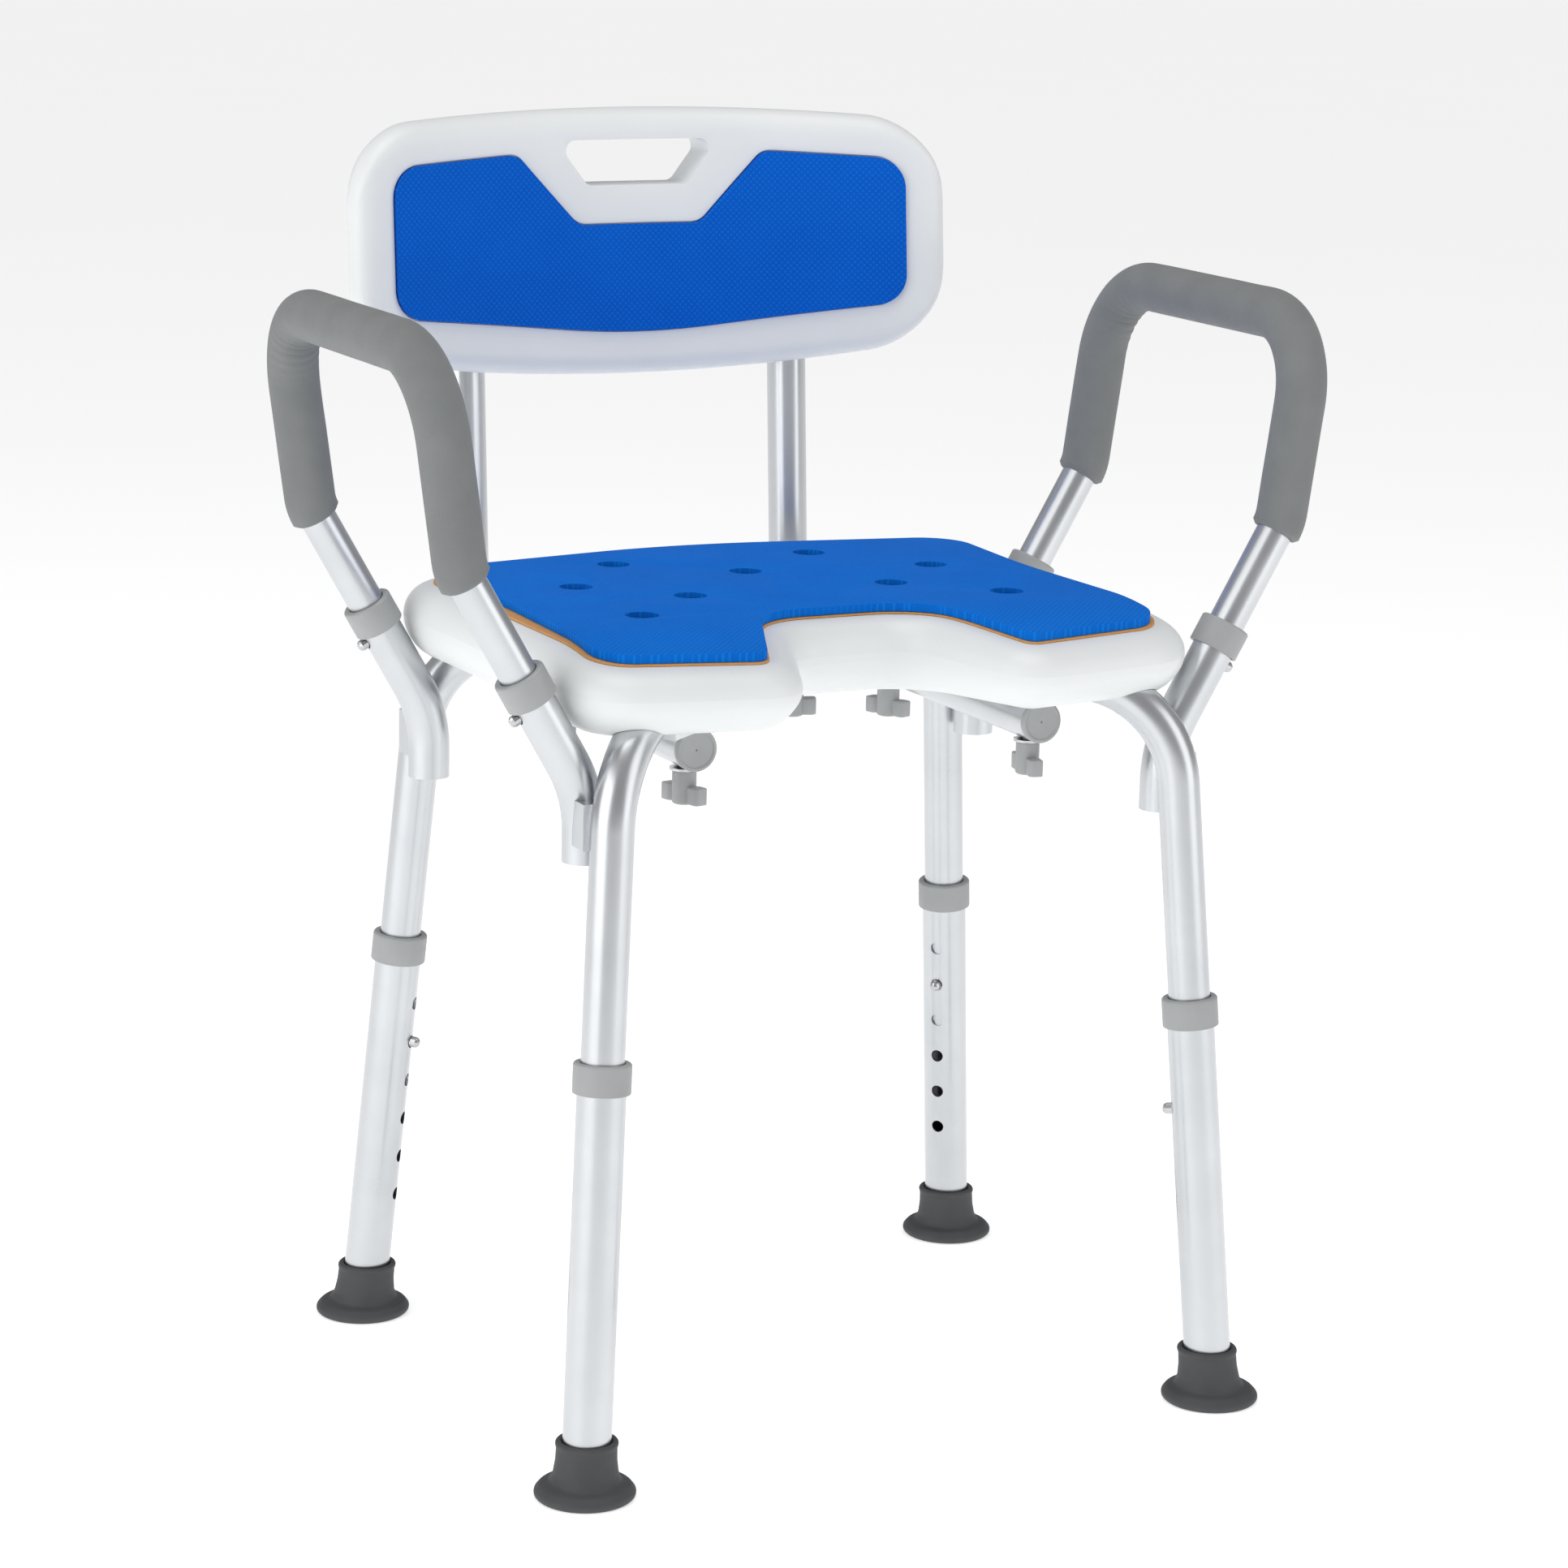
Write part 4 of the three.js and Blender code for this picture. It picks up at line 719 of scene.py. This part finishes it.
for end, side in (("l", -1), ("r", 1)):
    tail = -ARM_BUTTON_DROP - ARM_TAIL
    made = blank("arm_tube_" + end + "_drawn",
                 *tube_skin(arm_path(side, tail), ARM_R, ARM_R - TUBE_WALL, Vector((side, 0, 0))))
    holes = [arm_point(side, y, -ARM_BUTTON_DROP) for y in (-ARM_SOCKET_Y, ARM_SOCKET_Y)]
    outward = Vector((side * math.cos(TILT), 0, -math.sin(TILT)))
    cut(made, *[pin(hole, hole + outward * (ARM_R + 3), HOLE_R) for hole in holes])
    finished(made, "arm_" + end, aluminium, ["arm_tube_" + end])
    start = (ELBOW_Z - ARM_COLLAR_Z) / math.cos(TILT) - 8
    path = along_path(arm_path(side, start), 2.2)
    travelled, rings = 0.0, []
    total = sum((q - p).length for (p, _), (q, _) in zip(path, path[1:]))
    for k, (p, t) in enumerate(path):
        travelled += (p - path[k - 1][0]).length if k else 0.0
        edge = min(travelled, total - travelled)
        radius = GRIP_R - GRIP_EDGE * max(0.0, 1 - edge / GRIP_EDGE) ** 2
        loop = ring(p, t, Vector((side, 0, 0)), radius, 64)
        bend = max(0.0, 1 - abs(p.y - WRINKLE_Y) / 40) * max(0.0, 1 - abs(p.z - WRINKLE_Z) / 34)
        for i, corner in enumerate(loop):
            inner = max(0.0, (corner - p).normalized().dot(Vector((0, -0.7, -0.7))))
            wander = 1.2 * noise.noise(corner * 0.05)
            crease = 0.5 - 0.5 * math.cos(2 * math.pi * travelled / WRINKLE_PITCH + wander)
            dent = bend * inner * crease * WRINKLE_DEPTH + max(0.0, noise.noise(corner * 0.03) * 0.25)
            loop[i] = corner + (p - corner).normalized() * dent
        rings.append(loop)
    inside = [ring(p, t, Vector((side, 0, 0)), ARM_R + GAP, 64) for p, t in path]
    grip = piece("arm_grip_" + end + "_foam", *loft(rings + inside[::-1], joined=True), "arm_" + end, foam,
                 ["arm_grip_" + end], crease=50)

# ---------------------------------------------------------------- back shell
# Blow-moulded polyethylene back, 28 mm thick and gently bowed, with a hand slot at the
# top, a shallow bed for the pad and swollen bosses where the posts push in.
BACK_HALF_W, BACK_T = 207.5, 28.0
BACK_MID_Z, BACK_Y, BACK_BOW, BACK_LEAN = 681.0, 254.5, 1 / 1100, 0.085
BACK_TOP, BACK_TOP_DROP, BACK_LOW, BACK_LOW_RISE = 760.5, 9.0, 590.0, 20.0
BACK_CORNER = 48.0
HANDLE_LOW_Z, HANDLE_TOP_Z = 712.0, 741.0
BACK_PAD_T, BACK_PAD_PROUD, BOSS_WALL = 5.0, 3.0, 3.0
PAD_BED = BACK_T / 2 - (BACK_PAD_T - BACK_PAD_PROUD)


def back_mid(x, z):
    return BACK_Y - BACK_BOW * x * x + BACK_LEAN * (z - BACK_MID_Z)


def corner_cut(x):
    past = max(0.0, abs(x) - (BACK_HALF_W - BACK_CORNER))
    return BACK_CORNER - math.sqrt(max(0.0, BACK_CORNER ** 2 - past ** 2))


def back_blank():
    thick = BACK_T / 2
    ends = [BACK_HALF_W - thick * (1 - math.sin(math.pi / 2 * k)) - 0.01 for k in
            (1, 0.97, 0.92, 0.84, 0.75, 0.62, 0.5, 0.37, 0.25, 0.12, 0)]
    flat = BACK_HALF_W - thick
    inner = [flat - 3 - 5.1 * k for k in range(38) if flat - 3 - 5.1 * k > 2]
    right = ends + inner
    stations = [-x for x in right] + [0] + right[::-1]
    rings = []
    for x in stations:
        past = abs(x) - flat
        depth = math.sqrt(max(0.0, thick ** 2 - past ** 2)) if past > 0 else thick
        cut_by = corner_cut(x)
        top = BACK_TOP - BACK_TOP_DROP * (x / BACK_HALF_W) ** 2 - cut_by
        low = BACK_LOW + BACK_LOW_RISE * (x / BACK_HALF_W) ** 2 + cut_by
        loop = []
        for centre_z, first in ((top - thick, 0), (low + thick, math.pi)):
            for k in range(13):
                a = first + math.pi * k / 12
                z = centre_z + thick * math.sin(a)
                loop.append(Vector((x, back_mid(x, z) + depth * math.cos(a), z)))
        rings.append(loop)
    return blank("back_shell_moulded", *loft(rings))


def through_back(name, points):
    rings = [[Vector((x, y, z)) for x, z in points] for y in (150, 320)]
    return blank(name, *loft(rings))


def back_pad_outline(shrink):
    right = [(178.5, 728, 20), (86.4, 733, 12), (43, 687.5, 14)]
    left = [(-x, z, r) for x, z, r in reversed(right)]
    low = [(-178.5, 635, 20), (0, 616, 500), (178.5, 635, 20)]
    return inset(rounded_outline(right + left + low), shrink)


def front_slab(near, far):
    """Sheet that follows the front of the back between two depths."""
    rings = []
    for k in range(-26, 27):
        x = k * BACK_HALF_W / 26
        low, high = BACK_LOW - 20, BACK_TOP + 20
        rings.append([Vector((x, back_mid(x, z) - d, z)) for z, d in
                      ((low, far), (low, near), (high, near), (high, far))])
    return blank("slab", *loft(rings))


def front_part(name, shrink, near, far):
    """What the pad outline and a sheet along the front have in common."""
    made = through_back(name, back_pad_outline(shrink))
    return cut(made, front_slab(near, far), operation="INTERSECT")


back = back_blank()
bosses, bores = [], []
for side in (-1, 1):
    (base, axis), (crown, _) = post_path(side, POST_TOP + 4)[-2:]
    length = (crown - base).length
    first = crown.lerp(base, (POST_TOP - BACK_LOW - 22) / length)
    rings = [ring(p, axis, Vector((1, 0, 0)), TUBE_R + GAP + BOSS_WALL, 48)
             for p in (first, crown + axis * BOSS_WALL)]
    bosses.append(blank("boss", *loft(rings)))
    rings = [ring(p, axis, Vector((1, 0, 0)), TUBE_R + GAP, 48) for p in (base, crown)]
    bores.append(blank("bore", *loft(rings)))
cut(back, *bosses, operation="UNION")
handle = [(-35, HANDLE_LOW_Z, 7), (35, HANDLE_LOW_Z, 7),
          (57.5, HANDLE_TOP_Z, 7), (-57.5, HANDLE_TOP_Z, 7)]
cut(back, through_back("hand_slot", inset(rounded_outline(handle), 0)))
bevelled(back, 1.8, 4, 60)
cut(back, front_part("bed", -2 * GAP, PAD_BED, BACK_T), *bores)
finished(back, "frame", polyethylene, ["back_shell"], crease=32)

# ---------------------------------------------------------------- back pad
# The same embossed EVA sheet as the seat, die-cut to clear the hand slot, pressed
# into its bed so that 3 mm stands proud.
# painted shade: the same foam as the seat pad in darker colours, because the upright back gets less light
# than the seat top; the third colour is again the painted dimple highlight
back_eva = eva("embossed_blue_eva_foam_painted_shade", "#0054bd", "#035fcb", "#0a78e2", 0, 2)
pad = front_part("back_pad_foam", GAP, PAD_BED + GAP, PAD_BED + GAP + BACK_PAD_T)
bevelled(pad, 1.4, 4, 50)
finished(pad, "frame", back_eva, ["back_pad"], crease=32)

# ---------------------------------------------------------------- parts left as drawn
# Small parts whose solids already have the real shape: weld fillets in aluminium,
# washers and spring buttons in polished steel.
for name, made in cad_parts.items():
    if name.startswith("weld_plate"):
        made.data.materials.clear()
        made.data.materials.append(aluminium)
    if name.startswith(("washer", "leg_clip", "arm_clip")):
        made.data.materials.clear()
        made.data.materials.append(steel)

# ---------------------------------------------------------------- floor, light and camera
# A plain pale floor that runs out of sight, and soft boxes to both sides and above.
floor_material, tree, surface = new_material("pale_floor", Roughness=0.95, IOR=1.2, Emission_Strength=0.55)
surface.inputs["Emission Color"].default_value = (1.0, 1.0, 1.0, 1.0)
place = add(tree, "ShaderNodeTexCoord").outputs["Object"]
mottle = add(tree, "ShaderNodeTexNoise", {"Vector": place, "Scale": 2.0}).outputs["Fac"]
tone = add(tree, "ShaderNodeMix", {"Factor": mottle}, data_type="RGBA")
tone.inputs["A"].default_value, tone.inputs["B"].default_value = linear("#f4f4f4"), linear("#f7f7f7")
tree.links.new(tone.outputs["Result"], surface.inputs["Base Color"])
mesh = bpy.data.meshes.new("floor")
mesh.from_pydata([(-40, -40, 0), (40, -40, 0), (40, 40, 0), (-40, 40, 0)], [], [(0, 1, 2, 3)])
mesh.materials.append(floor_material)
floor = bpy.data.objects.new("floor", mesh)
bpy.context.scene.collection.objects.link(floor)

world = bpy.data.worlds.new("studio")
bpy.context.scene.world = world
world.use_nodes = True
tree = world.node_tree
tree.nodes["Background"].inputs["Color"].default_value = (0.36, 0.36, 0.365, 1.0)
bpy.context.scene.view_settings.view_transform = "Standard"

SOFT_BOXES = {
    "key": ((-2.72, -0.67, 1.35), 2.8, 2.4, 36.0),
    "fill": ((1.87, -2.09, 1.3), 1.8, 2.4, 17.0),
    "top": ((-0.1, -0.2, 3.0), 1.6, 1.6, 22.0),
}
for name, (spot, width, height, power) in SOFT_BOXES.items():
    lamp = bpy.data.lights.new(name, "AREA")
    lamp.shape, lamp.size, lamp.size_y, lamp.energy = "RECTANGLE", width, height, power
    holder = bpy.data.objects.new(name, lamp)
    holder.location = spot
    holder.rotation_euler = (Vector((0, 0, 0.42)) - Vector(spot)).to_track_quat("-Z", "Y").to_euler()
    bpy.context.scene.collection.objects.link(holder)

CAMERA_AT = Vector((-1.2118, -2.4852, 0.9790))
LOOK_AT = Vector((-0.00493, -0.03598, 0.36816))
ROLL = math.radians(1.256)
lens = bpy.data.cameras.new("camera")
lens.lens, lens.sensor_width = 104.8, 36.0
camera = bpy.data.objects.new("camera", lens)
back_way = (CAMERA_AT - LOOK_AT).normalized()
right_way = Vector((0, 0, 1)).cross(back_way).normalized()
up_way = back_way.cross(right_way)
right_way, up_way = (right_way * math.cos(ROLL) + up_way * math.sin(ROLL),
                     up_way * math.cos(ROLL) - right_way * math.sin(ROLL))
turned_to = Matrix((right_way, up_way, back_way)).transposed().to_4x4()
camera.matrix_world = Matrix.Translation(CAMERA_AT) @ turned_to
bpy.context.scene.collection.objects.link(camera)
bpy.context.scene.camera = camera
